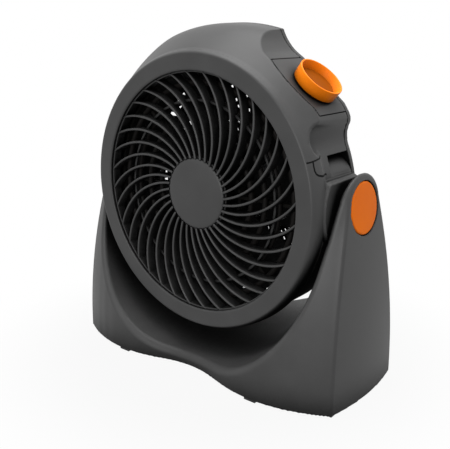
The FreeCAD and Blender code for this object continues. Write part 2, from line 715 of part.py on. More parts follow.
grille = new_body("front_grille")
grille.setExpression("Placement.Base.z", cells("pivot_height"))
ring(grille, "lip_radius - vane_width / 2", "grille_ring_radius", GRILLE_FRONT, GRILLE_BACK)
vane_sketch = sketch_on(grille, "XZ_Plane", "0 - " + GRILLE_BACK)
vane_outline(vane_sketch)
vane = pad(grille, vane_sketch, "vane_depth")
doc.recompute()
around(grille, [vane], "Y_Axis", "vane_count")
doc.recompute()
ring(grille, "support_ring_radius - support_ring_width / 2", "support_ring_radius + support_ring_width / 2",
     GRILLE_BACK + " - support_ring_depth", GRILLE_BACK)
ring(grille, "hub_radius - hub_seat_width", "hub_radius + hub_seat_width",
     GRILLE_FRONT + " - hub_dome + hub_thickness", GRILLE_BACK)
doc.recompute()

HUB_BACK = GRILLE_FRONT + " - hub_dome + hub_thickness"
fan_axis_turned("hub_disc", [
    ("0", GRILLE_FRONT + " - hub_dome"), ("hub_radius - hub_edge", GRILLE_FRONT),
    ("hub_radius", GRILLE_FRONT + " + hub_edge_drop"), ("hub_radius", HUB_BACK), ("0", HUB_BACK)])

# Air duct and heater

fan_axis_turned("air_duct", [
    ("duct_radius", GRILLE_BACK), ("duct_radius + duct_wall", GRILLE_BACK),
    ("duct_radius + duct_wall", "seam_depth"), ("duct_radius", "seam_depth")])

HEATER_FRONT = GRILLE_BACK + " + heater_setback"
HEATER_BACK = HEATER_FRONT + " + heater_depth"
heater = new_body("heater_frame")
heater.setExpression("Placement.Base.z", cells("pivot_height"))
RIM_OUTER = "duct_radius - heater_clearance"
ring(heater, RIM_OUTER + " - heater_rim", RIM_OUTER, HEATER_FRONT, HEATER_BACK)
ring(heater, "heater_core_radius - heater_rim", "heater_core_radius", HEATER_FRONT, HEATER_BACK)
spoke_sketch = sketch_on(heater, "XZ_Plane", "0 - (%s)" % HEATER_BACK)
closed_outline(spoke_sketch, [
    ("heater_core_radius - heater_rim / 2", "0 - heater_spoke_width / 2"),
    (RIM_OUTER + " - heater_rim / 2", "0 - heater_spoke_width / 2"),
    (RIM_OUTER + " - heater_rim / 2", "heater_spoke_width / 2"),
    ("heater_core_radius - heater_rim / 2", "heater_spoke_width / 2")])
spoke = pad(heater, spoke_sketch, "heater_depth")
doc.recompute()
around(heater, [spoke], "Y_Axis", "heater_spoke_count")
doc.recompute()

rings = []
ring_y = value_of(HEATER_FRONT) - size("heater_ring_radius")
for index in range(int(size("heater_ring_count"))):
    major = size("heater_ring_first") + index * size("heater_ring_pitch")
    rings.append(Part.makeTorus(major, size("heater_ring_radius"), V(0, ring_y, 0), V(0, 1, 0)))
moulding("heater_rings", Part.makeCompound(rings), PIVOT)

cutout_place = V(value_of(RIM_OUTER + " - heater_rim - cutout_radius") - OVERLAP, value_of(HEATER_BACK), 0)
cutout = Part.makeCylinder(size("cutout_radius"), size("cutout_height"), cutout_place, V(0, 1, 0))
moulding("thermal_cutout", cutout, PIVOT)

# Fan: impeller, shaft and nut

HUB_FRONT = "(impeller_setback - head_front)"
HUB_REAR = "(impeller_setback - head_front + impeller_depth)"
MOTOR_FRONT = HUB_REAR + " + motor_gap"
MOTOR_BACK = MOTOR_FRONT + " + motor_length"


def blade():
    """A cambered, pitched strip, trimmed to a planform that widens and sweeps towards the tip."""
    root = size("impeller_hub_radius") - size("impeller_wall") / 2
    tip = size("impeller_radius")
    half_depth = size("impeller_depth") / 2 - size("blade_thickness")
    middle_y = value_of(HUB_FRONT) + size("impeller_depth") / 2
    half_turn = math.radians(size("blade_chord_angle")) / 2
    half_chord = tip * math.sin(half_turn) + 2 * size("blade_thickness")
    thick = V(0, size("blade_thickness"), 0)
    low = V(0, middle_y - half_depth, -half_chord)
    high = V(0, middle_y + half_depth - size("blade_thickness"), half_chord)
    crest = V(0, middle_y - size("blade_camber"), 0)
    strip = Part.Wire([Part.Arc(low, crest, high).toShape(), Part.LineSegment(high, high + thick).toShape(),
                       Part.Arc(high + thick, crest + thick, low + thick).toShape(),
                       Part.LineSegment(low + thick, low).toShape()])
    strip = Part.Face(strip).extrude(V(tip + OVERLAP, 0, 0))

    def polar(radius, angle):
        return V(radius * math.cos(angle), 0, radius * math.sin(angle))

    root_turn = half_turn * size("blade_root_share")
    sweep = math.radians(size("blade_sweep"))
    middle = (root + tip) / 2
    corners = [polar(root, -root_turn), polar(tip, sweep - half_turn), polar(tip, half_turn),
               polar(root, root_turn)]
    middles = [polar(middle, -half_turn), polar(tip, sweep / 2), polar(middle, half_turn - sweep / 2),
               polar(root, 0)]
    ends = corners[1:] + corners[:1]
    outline = Part.Wire([Part.Arc(a, b, c).toShape() for a, b, c in zip(corners, middles, ends)])
    planform = Part.Face(outline).extrude(V(0, 4 * half_depth, 0))
    planform.translate(V(0, middle_y - 2 * half_depth, 0))
    return strip.common(planform)


impeller = solid_of_revolution(polyline([
    V(size("shaft_radius"), value_of(HUB_FRONT), 0), V(size("impeller_nose_radius"), value_of(HUB_FRONT), 0),
    V(size("impeller_hub_radius"), value_of(HUB_FRONT) + size("impeller_wall"), 0),
    V(size("impeller_hub_radius"), value_of(HUB_REAR), 0), V(size("shaft_radius"), value_of(HUB_REAR), 0),
    V(size("shaft_radius"), value_of(HUB_FRONT), 0)]))
first_blade = blade()
for index in range(int(size("blade_count"))):
    turned = first_blade.copy()
    turned.rotate(V(0, 0, 0), V(0, 1, 0), 360.0 * index / int(size("blade_count")))
    impeller = impeller.fuse(turned)
shaft_bore = Part.makeCylinder(size("shaft_radius"), SPAN, V(0, -SPAN / 2, 0), V(0, 1, 0))
moulding("impeller", impeller.cut(shaft_bore), PIVOT)

fan_axis_turned("motor_shaft", [
    ("0", HUB_FRONT + " - shaft_nose"), ("shaft_radius", HUB_FRONT + " - shaft_nose"),
    ("shaft_radius", MOTOR_FRONT + " + motor_boss_length"), ("0", MOTOR_FRONT + " + motor_boss_length")])
fan_axis_turned("impeller_nut", [
    ("0", HUB_FRONT + " - nut_length"), ("nut_tip_radius", HUB_FRONT + " - nut_length"),
    ("nut_radius", HUB_FRONT + " - nut_shoulder"), ("nut_radius", HUB_FRONT), ("shaft_radius", HUB_FRONT),
    ("shaft_radius", HUB_FRONT + " - shaft_nose"), ("0", HUB_FRONT + " - shaft_nose")])

# Motor and its through bolts

motor = fan_axis_turned("motor", [
    ("shaft_radius + running_clearance", MOTOR_FRONT + " - motor_boss_length"),
    ("motor_boss_radius", MOTOR_FRONT + " - motor_boss_length"), ("motor_boss_radius", MOTOR_FRONT),
    ("motor_radius", MOTOR_FRONT), ("motor_radius", MOTOR_BACK), ("0", MOTOR_BACK),
    ("0", MOTOR_FRONT + " + motor_boss_length"),
    ("shaft_radius + running_clearance", MOTOR_FRONT + " + motor_boss_length")])
doc.recompute()
bolt_sketch = sketch_on(motor, "XZ_Plane")
circle(bolt_sketch, "0", "motor_bolt_circle", "screw_radius + plate_clearance")
bolt_hole = pocket_through(motor, bolt_sketch)
around(motor, [bolt_hole], "Y_Axis", "motor_bolt_count")
doc.recompute()


def screw(place, direction, length):
    """A screw with its head against a face at the place, and its shank along the direction."""
    shank = Part.makeCylinder(size("screw_radius"), length, place, direction)
    head = Part.makeCylinder(size("screw_head_radius"), size("screw_head_height"), place, direction * -1)
    return shank.fuse(head)


def ring_places(radius, count, y, start=90.0):
    """Places evenly round the fan axis, the first at an angle up from X."""
    angles = [math.radians(start + 360.0 * index / count) for index in range(int(count))]
    return [V(radius * math.cos(angle), y, radius * math.sin(angle)) for angle in angles]


disc_back = value_of(MOTOR_BACK + " + dome_wall")
motor_bolts = [screw(place, V(0, -1, 0), size("motor_length"))
               for place in ring_places(size("motor_bolt_circle"), size("motor_bolt_count"), disc_back)]
moulding("motor_bolts", Part.makeCompound(motor_bolts), PIVOT)

# Rear grille

rear_grille = fan_axis_turned("rear_grille", [
    ("0", MOTOR_BACK), ("dome_flat_radius", MOTOR_BACK),
    ("dome_shoulder_radius - dome_wall", "seam_depth + dome_shoulder_depth - dome_wall"),
    ("inlet_radius - inlet_clearance - dome_wall", "seam_depth + dome_rim"),
    ("inlet_radius - inlet_clearance - dome_wall", "seam_depth"),
    ("inlet_radius - inlet_clearance", "seam_depth"),
    ("inlet_radius - inlet_clearance", "seam_depth + dome_rim"),
    ("dome_shoulder_radius", "seam_depth + dome_shoulder_depth"),
    ("dome_flat_radius", MOTOR_BACK + " + dome_wall"),
    ("0", MOTOR_BACK + " + dome_wall")])
doc.recompute()
slot_sketch = sketch_on(rear_grille, "XZ_Plane")
row_count = int(size("slot_rows"))
row_pitch = "(inlet_radius - inlet_clearance - dome_wall - mount_disc_radius) / slot_rows"
for row in range(row_count):
    low = "(mount_disc_radius + %d * %s + slot_bar / 2)" % (row, row_pitch)
    high = "(mount_disc_radius + %d * %s - slot_bar / 2)" % (row + 1, row_pitch)
    half = "(%s * tan(180 / slot_sectors) - slot_bar / 2)"
    closed_outline(slot_sketch, [
        ("0 - " + half % low, low), (half % low, low), (half % high, high), ("0 - " + half % high, high)])
slot_cut = pocket_through(rear_grille, slot_sketch)
around(rear_grille, [slot_cut], "Y_Axis", "slot_sectors")
doc.recompute()
mount_sketch = sketch_on(rear_grille, "XZ_Plane")
for place in ring_places(1.0, size("motor_bolt_count"), 0):
    circle(mount_sketch, "%.12f * motor_bolt_circle" % place.x, "%.12f * motor_bolt_circle" % place.z,
           "screw_radius + plate_clearance")
pocket_through(rear_grille, mount_sketch)
doc.recompute()

# Rear housing, cord gland and housing screws

plate_depth = BACK - SEAM
drum_end = size("drum_radius")
drum_taper = drum_end - size("rear_plate_taper")
drum_cover = Part.makeCone(drum_end, drum_taper, plate_depth, V(0, SEAM, 0), V(0, 1, 0))
back_cover = slice_of(whole_hood, SEAM, BACK).fuse(drum_cover)
inlet = Part.makeCylinder(size("inlet_radius"), SPAN, V(0, -SPAN / 2, 0), V(0, 1, 0))
back_cover = back_cover.cut(inlet)
gland_place = V(-size("gland_side"), BACK, size("gland_height"))
gland_seat = Part.makeCylinder(size("gland_radius") + size("gland_clearance"), 2 * plate_depth,
                               gland_place + V(0, OVERLAP, 0), V(0, -1, 0))
back_cover = back_cover.cut(gland_seat)
gland = Part.makeCylinder(size("gland_radius"), plate_depth, gland_place, V(0, -1, 0))
flange = Part.makeCylinder(size("gland_flange_radius"), size("gland_flange"), gland_place, V(0, 1, 0))
gland = gland.fuse(flange)
gland_hole = Part.makeCylinder(size("gland_bore"), SPAN, gland_place + V(0, SPAN / 2, 0), V(0, -1, 0))
moulding("cord_gland", gland.cut(gland_hole), PIVOT)

lug_places = ring_places(size("lug_circle"), size("lug_count"), SEAM, size("lug_angle"))
hole_length = size("screw_length") + plate_depth
housing_screws = []
for place in lug_places:
    lug = Part.makeCylinder(size("lug_radius"), size("lug_length"), place, V(0, -1, 0))
    hole = Part.makeCylinder(screw_room, hole_length, place + V(0, plate_depth + OVERLAP, 0), V(0, -1, 0))
    housing = housing.fuse(lug).cut(hole)
    back_cover = back_cover.cut(hole)
    housing_screws.append(screw(place + V(0, plate_depth, 0), V(0, -1, 0), size("screw_length")))
moulding("front_housing", housing.removeSplitter(), PIVOT)
moulding("rear_housing", back_cover.removeSplitter(), PIVOT)
moulding("housing_screws", Part.makeCompound(housing_screws), PIVOT)

# Knob and the spindle that it turns


def on_knob_axis(label, corners):
    """A piece turned about the knob's axis: corners are (radius, height above the shoulder)."""
    body = new_body(label)
    sketch = sketch_on(body, "XZ_Plane")
    closed_outline(sketch, corners)
    turn(body, sketch, "V_Axis")
    body.Placement = FreeCAD.Placement(knob_place(0) + V(0, 0, PIVOT),
                                       FreeCAD.Rotation(V(0, 1, 0), 90.0 - size("shoulder_angle")))
    return body


KNOB_TOP = "(knob_lift + knob_height)"
DISH_FLOOR = "(knob_lift + knob_height - knob_dish_depth)"
on_knob_axis("knob", [
    ("spindle_radius", "knob_lift"), ("knob_radius", "knob_lift"), ("knob_radius - knob_taper", KNOB_TOP),
    ("knob_radius - knob_taper - knob_rim", KNOB_TOP),
    ("knob_radius - knob_taper - knob_rim - knob_dish_slope", DISH_FLOOR), ("0", DISH_FLOOR),
    ("0", "knob_lift + spindle_reach"), ("spindle_radius", "knob_lift + spindle_reach")])
SPINDLE_END = "0 - panel_thickness - switch_depth / 2"
on_knob_axis("switch_spindle", [
    ("0", SPINDLE_END), ("spindle_radius", SPINDLE_END),
    ("spindle_radius", "knob_lift + spindle_reach"), ("0", "knob_lift + spindle_reach")])
doc.recompute()

# Check and write

for item in doc.Objects:
    if "Invalid" in item.State or "Error" in item.State:
        raise RuntimeError("%s did not build: %s" % (item.Label, item.State))
pieces = [item for item in doc.Objects if item.TypeId in ("PartDesign::Body", "Part::Feature")]
for piece in pieces:
    if piece.Shape.isNull() or not piece.Shape.isValid():
        raise RuntimeError("%s is not a sound solid" % piece.Label)
os.makedirs("parts", exist_ok=True)
for piece in pieces:
    piece.Shape.exportStep("parts/%s.step" % piece.Label)
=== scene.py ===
"""Fan heater: a round head that tilts between the two arms of a saddle base, dressed over its CAD frame.

Forms are in millimetres. The stage, the lamps and the camera are in metres.
"""
import bmesh
import bpy
import math
import numpy as np
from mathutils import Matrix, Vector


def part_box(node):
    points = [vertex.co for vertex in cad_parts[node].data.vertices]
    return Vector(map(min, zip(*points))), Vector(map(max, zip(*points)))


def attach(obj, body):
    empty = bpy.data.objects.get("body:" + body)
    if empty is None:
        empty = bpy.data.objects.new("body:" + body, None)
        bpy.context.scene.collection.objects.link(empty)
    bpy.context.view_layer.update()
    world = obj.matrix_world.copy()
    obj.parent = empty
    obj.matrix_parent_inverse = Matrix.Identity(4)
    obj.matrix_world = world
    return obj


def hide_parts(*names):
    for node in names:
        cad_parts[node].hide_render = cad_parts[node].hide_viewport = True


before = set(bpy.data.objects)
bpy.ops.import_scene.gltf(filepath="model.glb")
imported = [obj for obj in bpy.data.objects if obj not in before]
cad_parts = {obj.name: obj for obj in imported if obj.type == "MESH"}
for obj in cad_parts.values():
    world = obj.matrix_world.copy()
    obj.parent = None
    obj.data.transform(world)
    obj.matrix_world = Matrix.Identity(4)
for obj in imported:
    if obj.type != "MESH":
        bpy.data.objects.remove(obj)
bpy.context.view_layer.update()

# Heights of the tilt axis and of the cradle's underside, which stands on its feet

MM = 0.001
PIVOT = 172.1
FLOOR = 2.0

# Shader nodes


def feed(tree, socket, source):
    """Sets an input to a plain value, or links it to another node's output."""
    if isinstance(source, bpy.types.NodeSocket):
        tree.links.new(source, socket)
    else:
        socket.default_value = source


def maths(tree, operation, first, second):
    node = tree.nodes.new("ShaderNodeMath")
    node.operation = operation
    feed(tree, node.inputs[0], first)
    feed(tree, node.inputs[1], second)
    return node.outputs["Value"]


def ranged(tree, value, start, end, low, high, smooth=False):
    """A value between start and end, mapped to one between low and high."""
    node = tree.nodes.new("ShaderNodeMapRange")
    if smooth:
        node.interpolation_type = "SMOOTHSTEP"
    limits = {"Value": value, "From Min": start, "From Max": end, "To Min": low, "To Max": high}
    for name, source in limits.items():
        feed(tree, node.inputs[name], source)
    return node.outputs["Result"]


def noise(tree, place, scale, detail):
    node = tree.nodes.new("ShaderNodeTexNoise")
    feed(tree, node.inputs["Vector"], place)
    feed(tree, node.inputs["Scale"], scale)
    feed(tree, node.inputs["Detail"], detail)
    return node.outputs["Fac"]


# Materials

PATCH_DETAIL = 4.0
PATCH_DARK = 0.3
PATCH_LIGHT = 0.7
GLOSS_SPREAD = 0.05
GRAIN_DETAIL = 3.0
GRAIN_DEPTH = 0.2 * MM
# Painted shade in nooks: ambient occlusion samples, the occlusion range it maps, and the least share of
# colour and gloss it leaves
NOOK_SAMPLES = 8
NOOK_SHUT = 0.35
NOOK_OPEN = 0.95
NOOK_LEAST = 0.06


def linear(level):
    """A display grey or colour channel, 0 to 255, as linear light."""
    level = level / 255.0
    return level / 12.92 if level <= 0.04045 else ((level + 0.055) / 1.055) ** 2.4


def colour(red, green, blue):
    return (linear(red), linear(green), linear(blue), 1.0)


def grey(level):
    return colour(level, level, level)


def patches(tree, cloud, dark, light):
    """Two close tones in soft patches."""
    tone = tree.nodes.new("ShaderNodeValToRGB")
    tone.color_ramp.elements[0].position = PATCH_DARK
    tone.color_ramp.elements[0].color = dark
    tone.color_ramp.elements[1].position = PATCH_LIGHT
    tone.color_ramp.elements[1].color = light
    feed(tree, tone.inputs["Fac"], cloud)
    return tone.outputs["Color"]


def painted_nook_shade(tree, distance):
    """Painted shade: one on open faces, and little in nooks that are narrower than a distance."""
    node = tree.nodes.new("ShaderNodeAmbientOcclusion")
    node.samples = NOOK_SAMPLES
    feed(tree, node.inputs["Distance"], distance)
    return ranged(tree, node.outputs["AO"], NOOK_SHUT, NOOK_OPEN, NOOK_LEAST, 1.0, smooth=True)


def scaled(tree, tone, share):
    node = tree.nodes.new("ShaderNodeVectorMath")
    node.operation = "SCALE"
    feed(tree, node.inputs[0], tone)
    feed(tree, node.inputs["Scale"], share)
    return node.outputs["Vector"]


def grained(tree, place, grain, height):
    """A fine grain on the surface."""
    bump = tree.nodes.new("ShaderNodeBump")
    feed(tree, bump.inputs["Strength"], height)
    feed(tree, bump.inputs["Distance"], GRAIN_DEPTH)
    feed(tree, bump.inputs["Height"], noise(tree, place, grain, GRAIN_DETAIL))
    return bump.outputs["Normal"]


def moulded(name, dark, light, rough, grain, height, patch=35.0, specular=0.5, metallic=0.0, nook_shade=0.0):
    """A moulded or metal finish: two close tones in patches, uneven gloss, a fine grain, and painted shade
    that darkens colour and gloss in nooks.
    """
    material = bpy.data.materials.new(name)
    material.use_nodes = True
    tree = material.node_tree
    place = tree.nodes.new("ShaderNodeTexCoord").outputs["Object"]
    cloud = noise(tree, place, patch, PATCH_DETAIL)
    tone = patches(tree, cloud, dark, light)
    sheen = specular
    # Painted shade: colour and gloss are dimmed in nooks
    if nook_shade:
        share = painted_nook_shade(tree, nook_shade)
        tone = scaled(tree, tone, share)
        sheen = maths(tree, "MULTIPLY", share, specular)
    shader = tree.nodes["Principled BSDF"].inputs
    feed(tree, shader["Base Color"], tone)
    feed(tree, shader["Specular IOR Level"], sheen)
    feed(tree, shader["Metallic"], metallic)
    feed(tree, shader["Roughness"], ranged(tree, cloud, 0.0, 1.0, rough - GLOSS_SPREAD, rough + GLOSS_SPREAD))
    feed(tree, shader["Normal"], grained(tree, place, grain, height))
    return material


# nook_shade is how far the painted shade in nooks reaches, in metres
LOOKS = {
    "charcoal": dict(dark=grey(51), light=grey(57), rough=0.46, grain=1600.0, height=0.2,
                     specular=0.3, nook_shade=0.05),
    "grille_black": dict(dark=grey(50), light=grey(56), rough=0.46, grain=1600.0, height=0.15,
                         specular=0.3, nook_shade=0.016),
    "inner_black": dict(dark=grey(6), light=grey(9), rough=0.65, grain=1200.0, height=0.3, specular=0.08),
    "orange": dict(dark=colour(232, 118, 8), light=colour(238, 126, 12), rough=0.45, grain=1800.0,
                   height=0.1, specular=0.12, nook_shade=0.02),
    "orange_cap": dict(dark=colour(214, 100, 4), light=colour(222, 108, 6), rough=0.5, grain=1800.0,
                       height=0.1, specular=0.12),
    # The dish floor's darker orange is painted shade, not a colour of its own
    "orange_dish_shade": dict(dark=colour(130, 64, 4), light=colour(138, 70, 5), rough=0.6, grain=900.0, height=0.3,
                        specular=0.03),
    "foot_rubber": dict(dark=colour(26, 26, 27), light=grey(34), rough=0.8, grain=900.0, height=0.5),
    "nylon": dict(dark=colour(52, 52, 50), light=colour(60, 60, 58), rough=0.45, grain=1400.0, height=0.2),
    "steel": dict(dark=colour(120, 122, 125), light=colour(142, 144, 146), rough=0.34, grain=700.0,
                  height=0.2, metallic=1.0),
    "motor_metal": dict(dark=colour(40, 41, 42), light=colour(52, 53, 54), rough=0.5, grain=500.0, height=0.3,
                        metallic=0.6),
    # Mica and element are painted near black as the shade inside the head, not their own colours
    "mica": dict(dark=colour(11, 10, 9), light=colour(15, 14, 12), rough=0.7, grain=400.0, height=0.3,
                 specular=0.1),
    "element": dict(dark=colour(14, 13, 12), light=colour(20, 18, 17), rough=0.6, grain=600.0, height=0.3,
                    specular=0.1),
}
FINISHES = {name: moulded(name, **look) for name, look in LOOKS.items()}

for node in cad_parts.values():
    for holder in node.material_slots:
        holder.material = FINISHES[holder.material.name.split(".")[0]]

# Rounded mouldings: a field of x, y, z is negative inside a form, and its zero level is meshed

SWEEPS = 4
PULL_SHARE = 0.5
SLOPE_REACH = 0.05
NORMAL_REACH = 0.04
LEAST_SLOPE = 0.05
TINY = 1e-6
SHARP_ANGLE = math.radians(40)


def both(a, b, radius):
    """Inside a and inside b, with a rounded edge between them."""
    corner = np.hypot(np.maximum(a + radius, 0), np.maximum(b + radius, 0))
    return np.minimum(-radius, np.maximum(a, b)) + corner


def either(a, b, radius):
    """Inside a or inside b, with a rounded hollow between them."""
    return -both(-a, -b, radius)


def less(a, b, radius):
    """Inside a and outside b, with a rounded edge between them."""
    return both(a, -b, radius)


def largest(*fields):
    out = fields[0]
    for field in fields[1:]:
        out = np.maximum(out, field)
    return out


def eased(share):
    """A share from 0 to 1 that starts and ends softly."""
    share = np.clip(share, 0, 1)
    return share ** 2 * (3 - 2 * share)


def spline(points):
    """A smooth curve through (x, y) points, as two functions: its height and its slope."""
    x, y = np.array(points, float).T
    gap = np.diff(x)
    rise = np.diff(y) / gap
    count = len(x)
    system = np.eye(count)
    side = np.zeros(count)
    for i in range(1, count - 1):
        system[i, i - 1:i + 2] = gap[i - 1], 2 * (gap[i - 1] + gap[i]), gap[i]
        side[i] = 6 * (rise[i] - rise[i - 1])
    curl = np.linalg.solve(system, side)

    def span(t):
        t = np.clip(t, x[0], x[-1])
        k = np.clip(np.searchsorted(x, t) - 1, 0, count - 2)
        return t - x[k], x[k + 1] - t, gap[k], k

    def height(t):
        d, e, w, k = span(t)
        cubic = (curl[k] * e ** 3 + curl[k + 1] * d ** 3) / (6 * w)
        return cubic + (y[k] / w - curl[k] * w / 6) * e + (y[k + 1] / w - curl[k + 1] * w / 6) * d

    def slope(t):
        d, e, w, k = span(t)
        curve = (curl[k + 1] * d ** 2 - curl[k] * e ** 2) / (2 * w)
        return curve + rise[k] - (curl[k + 1] - curl[k]) * w / 6

    return height, slope


CORNERS = np.array([(i, j, k) for i in (0, 1) for j in (0, 1) for k in (0, 1)])
EDGES = [(a, b) for a in range(8) for b in range(a + 1, 8) if np.abs(CORNERS[a] - CORNERS[b]).sum() == 1]


def net_points(value, cells):
    """One point in each cell of a grid, amid the places where the zero level crosses the cell's edges."""
    levels = [value[tuple((cells + corner).T)] for corner in CORNERS]
    total = np.zeros(cells.shape)
    hits = np.zeros(len(cells))
    for a, b in EDGES:
        crossed = (levels[a] < 0) != (levels[b] < 0)
        share = np.where(crossed, levels[a] / np.where(crossed, levels[a] - levels[b], 1), 0)
        total += crossed[:, None] * (CORNERS[a] + share[:, None] * (CORNERS[b] - CORNERS[a]))
        hits += crossed
    return cells + total / hits[:, None]


def net_quads(inside, number):
    """One quad round each grid edge that goes from inside to outside."""
    quads = []
    for axis in range(3):
        first = np.moveaxis(inside, axis, 0)
        change = np.moveaxis(first[:-1] != first[1:], 0, axis)
        at = np.argwhere(change)
        u = np.eye(3, dtype=int)[(axis + 1) % 3]
        v = np.eye(3, dtype=int)[(axis + 2) % 3]
        loop = np.stack([number[tuple((at - shift).T)] for shift in (u + v, v, 0 * u, u)], 1)
        out = inside[tuple(at.T)]
        loop[~out] = loop[~out][:, ::-1]
        quads.append(loop)
    return np.concatenate(quads)


def net(value, low, step):
    """Points and quads round the zero level of values on a grid."""
    inside = value < 0
    whole = [slice(0, -1), slice(1, None)]
    filled = sum(inside[whole[i], whole[j], whole[k]].astype(np.int8) for i, j, k in CORNERS)
    mixed = (filled > 0) & (filled < len(CORNERS))
    number = np.full(mixed.shape, -1)
    number[mixed] = np.arange(mixed.sum())
    points = net_points(value, np.argwhere(mixed)) * step + low
    return points, net_quads(inside, number)


def steepness(field, points, reach):
    """The field's gradient at points."""
    parts = []
    for axis in range(3):
        ahead = points.copy()
        behind = points.copy()
        ahead[:, axis] += reach
        behind[:, axis] -= reach
        parts.append((field(*ahead.T) - field(*behind.T)) / (2 * reach))
    return np.stack(parts, 1)


def evened(field, points, quads, step):
    """The points, drawn towards their neighbours along the surface and back onto the field's zero level."""
    ends = np.concatenate([quads, np.roll(quads, 1, 1)]).T.reshape(-1)
    other = np.concatenate([np.roll(quads, 1, 1), quads]).T.reshape(-1)
    count = np.maximum(np.bincount(ends, minlength=len(points)), 1)
    for sweep in range(SWEEPS):
        middle = [np.bincount(ends, points[other, axis], len(points)) / count for axis in range(3)]
        pull = np.stack(middle, 1) - points
        normal = steepness(field, points, SLOPE_REACH)
        size = np.maximum(np.linalg.norm(normal, axis=1), LEAST_SLOPE)[:, None]
        normal = normal / size
        if sweep < SWEEPS - 1:
            points = points + PULL_SHARE * (pull - normal * (pull * normal).sum(1)[:, None])
        level = np.clip(field(*points.T)[:, None] / size, -step, step)
        points = points - level * normal
    return points


def skin(name, field, low, high, step):
    """A mesh on the zero level of a field, with the field's own normals."""
    low = np.array(low, float) - 2 * step
    axes = [np.arange(a, b + 2 * step, step) for a, b in zip(low, high)]
    grid = field(axes[0][:, None, None], axes[1][None, :, None], axes[2][None, None, :])
    points, quads = net(grid, low, step)
    points = evened(field, points, quads, step)
    normal = steepness(field, points, NORMAL_REACH)
    normal /= np.maximum(np.linalg.norm(normal, axis=1), TINY)[:, None]
    return piece(name, points, quads, normal)


def piece(name, points, faces, normals=None):
    """An object from points in millimetres."""
    mesh = bpy.data.meshes.new(name)
    mesh.from_pydata((np.asarray(points) * MM).tolist(), [], np.asarray(faces).tolist())
    mesh.shade_smooth()
    if normals is None:
        shape = bmesh.new()
        shape.from_mesh(mesh)
        bmesh.ops.recalc_face_normals(shape, faces=shape.faces)
        shape.to_mesh(mesh)
        shape.free()
        mesh.set_sharp_from_angle(angle=SHARP_ANGLE)
    else:
        mesh.normals_split_custom_set_from_vertices(normals.tolist())
    thing = bpy.data.objects.new(name, mesh)
    bpy.context.scene.collection.objects.link(thing)
    return thing


def dress(thing, slot, body, *nodes, finish=None):
    """Gives a piece its finish, its body and the CAD nodes that it stands for."""
    thing.data.materials.append(FINISHES[finish or slot])
    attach(thing, body)
    if nodes:
        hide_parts(*nodes)


# Base: a wavy front that leans back as it climbs, bowed sides, and the hollow that the head swings in

# The front seen from above, as (x, depth) places from the middle to one end

FRONT_DEPTH = 60.7
HALF_WAVE = [(12.8, 61.6), (25.0, 64.0), (38.0, 68.0), (50.0, 71.3), (61.5, 73.6), (71.0, 74.5), (80.0, 74.8),
             (89.0, 74.6), (97.0, 73.8), (104.4, 72.4), (112.0, 70.8), (118.5, 68.8), (125.0, 66.7),
             (131.6, 64.0), (137.8, 61.2), (143.8, 58.2), (149.6, 55.2), (151.7, 54.3), (156.0, 52.0)]
wave, wave_slope = spline([(-x, y) for x, y in reversed(HALF_WAVE)] + [(0.0, FRONT_DEPTH)] + HALF_WAVE)

# How the front leans, the corners draw in, the sides bow and the arms swell as they climb

ARM = PIVOT - FLOOR
LEAN = 26.3
LEAN_SLOPE = LEAN * 2.0 / ARM
TOP_TURN = math.atan(LEAN_SLOPE)
CORNER_X = 151.7
CORNER_Y = 54.3
DRAW = 7.5
DRAW_POWER = 2.1
DRAW_LIMIT = 1.25
FOOT_BOW = 6.0
TOP_BOW = 0.4
BOW_HEIGHT = 205.0
BOW_LIMIT = 1.2
LEAST_DEPTH = 5.0
SWELL = 3.0
SWELL_FOOT = 148.0
SWELL_RISE = 42.0
SWELL_OUTER = 146.0
SWELL_WIDTH = 12.0

# The hollow between the arms

HOLLOW_FLOOR = 23.4
HOLLOW_CLIMB = 12.6
HOLLOW_FOOT = 113.7
HOLLOW_BEND = 125.0
HOLLOW_EDGE = 6.0
SIDE_LEAN = math.radians(6.8)

# Walls, edges, and what lies round the pivots

BASE_WALL = 3.0
BASE_OPEN = 7.0
BASE_EDGE = 2.0
FOOT_EDGE = 0.8
WALL_EDGE = 0.3
SWING_RADIUS = 47.3
SWING_EDGE = 0.8
BOSS_RADIUS = 20.0
BOSS_FACE = 132.0
BOSS_BACK = 140.0
CAP_RADIUS = 22.8
CAP_GAP = 0.5
CAP_SEAT = 138.4
CAP_LIFT = 0.2
CAP_SINK = 0.4
CAP_EDGE = 1.6
SEAT_EDGE = 0.4

# Room and fineness of the meshes

BASE_ROOM = (158.0, 75.0, 208.0)
BASE_STEP = 1.5
CAP_NEAR = 136.0
CAP_FAR = 150.0
CAP_ROOM = 26.0
CAP_STEP = 0.8


def base_faces(x, y, z):
    """The wavy front and back, rounded over the pivots, and the bowed sides."""
    depth = np.abs(y)
    up = z - FLOOR
    rise = np.clip(up / ARM, 0, 1)
    lean = LEAN * rise ** 2 + LEAN_SLOPE * np.maximum(up - ARM, 0)
    tilt = LEAN_SLOPE * rise
    corner = CORNER_X - DRAW * np.clip(up / ARM, 0, DRAW_LIMIT) ** DRAW_POWER
    across = x * CORNER_X / corner
    turn = wave_slope(across)
    front = (depth - wave(across) + lean) / np.sqrt(1 + turn ** 2 + tilt ** 2)
    brow = (wave(x * CORNER_X / (CORNER_X - DRAW)) - LEAN) * math.cos(TOP_TURN)
    crown = (np.hypot(depth, z - PIVOT) - brow) / np.sqrt(1 + turn ** 2)
    front = np.where(z - PIVOT > depth * LEAN_SLOPE, crown, front)
    inward = np.clip((SWELL_OUTER - x) / SWELL_WIDTH, 0, 1)
    front = front - SWELL * eased((z - SWELL_FOOT) / SWELL_RISE) * inward
    bow = TOP_BOW + (FOOT_BOW - TOP_BOW) * np.clip(1 - up / BOW_HEIGHT, 0, 1) ** 2
    reach = np.minimum(depth / np.maximum(CORNER_Y - lean, LEAST_DEPTH), BOW_LIMIT)
    side = x - corner - bow * (1 - reach ** 2)
    return front, side


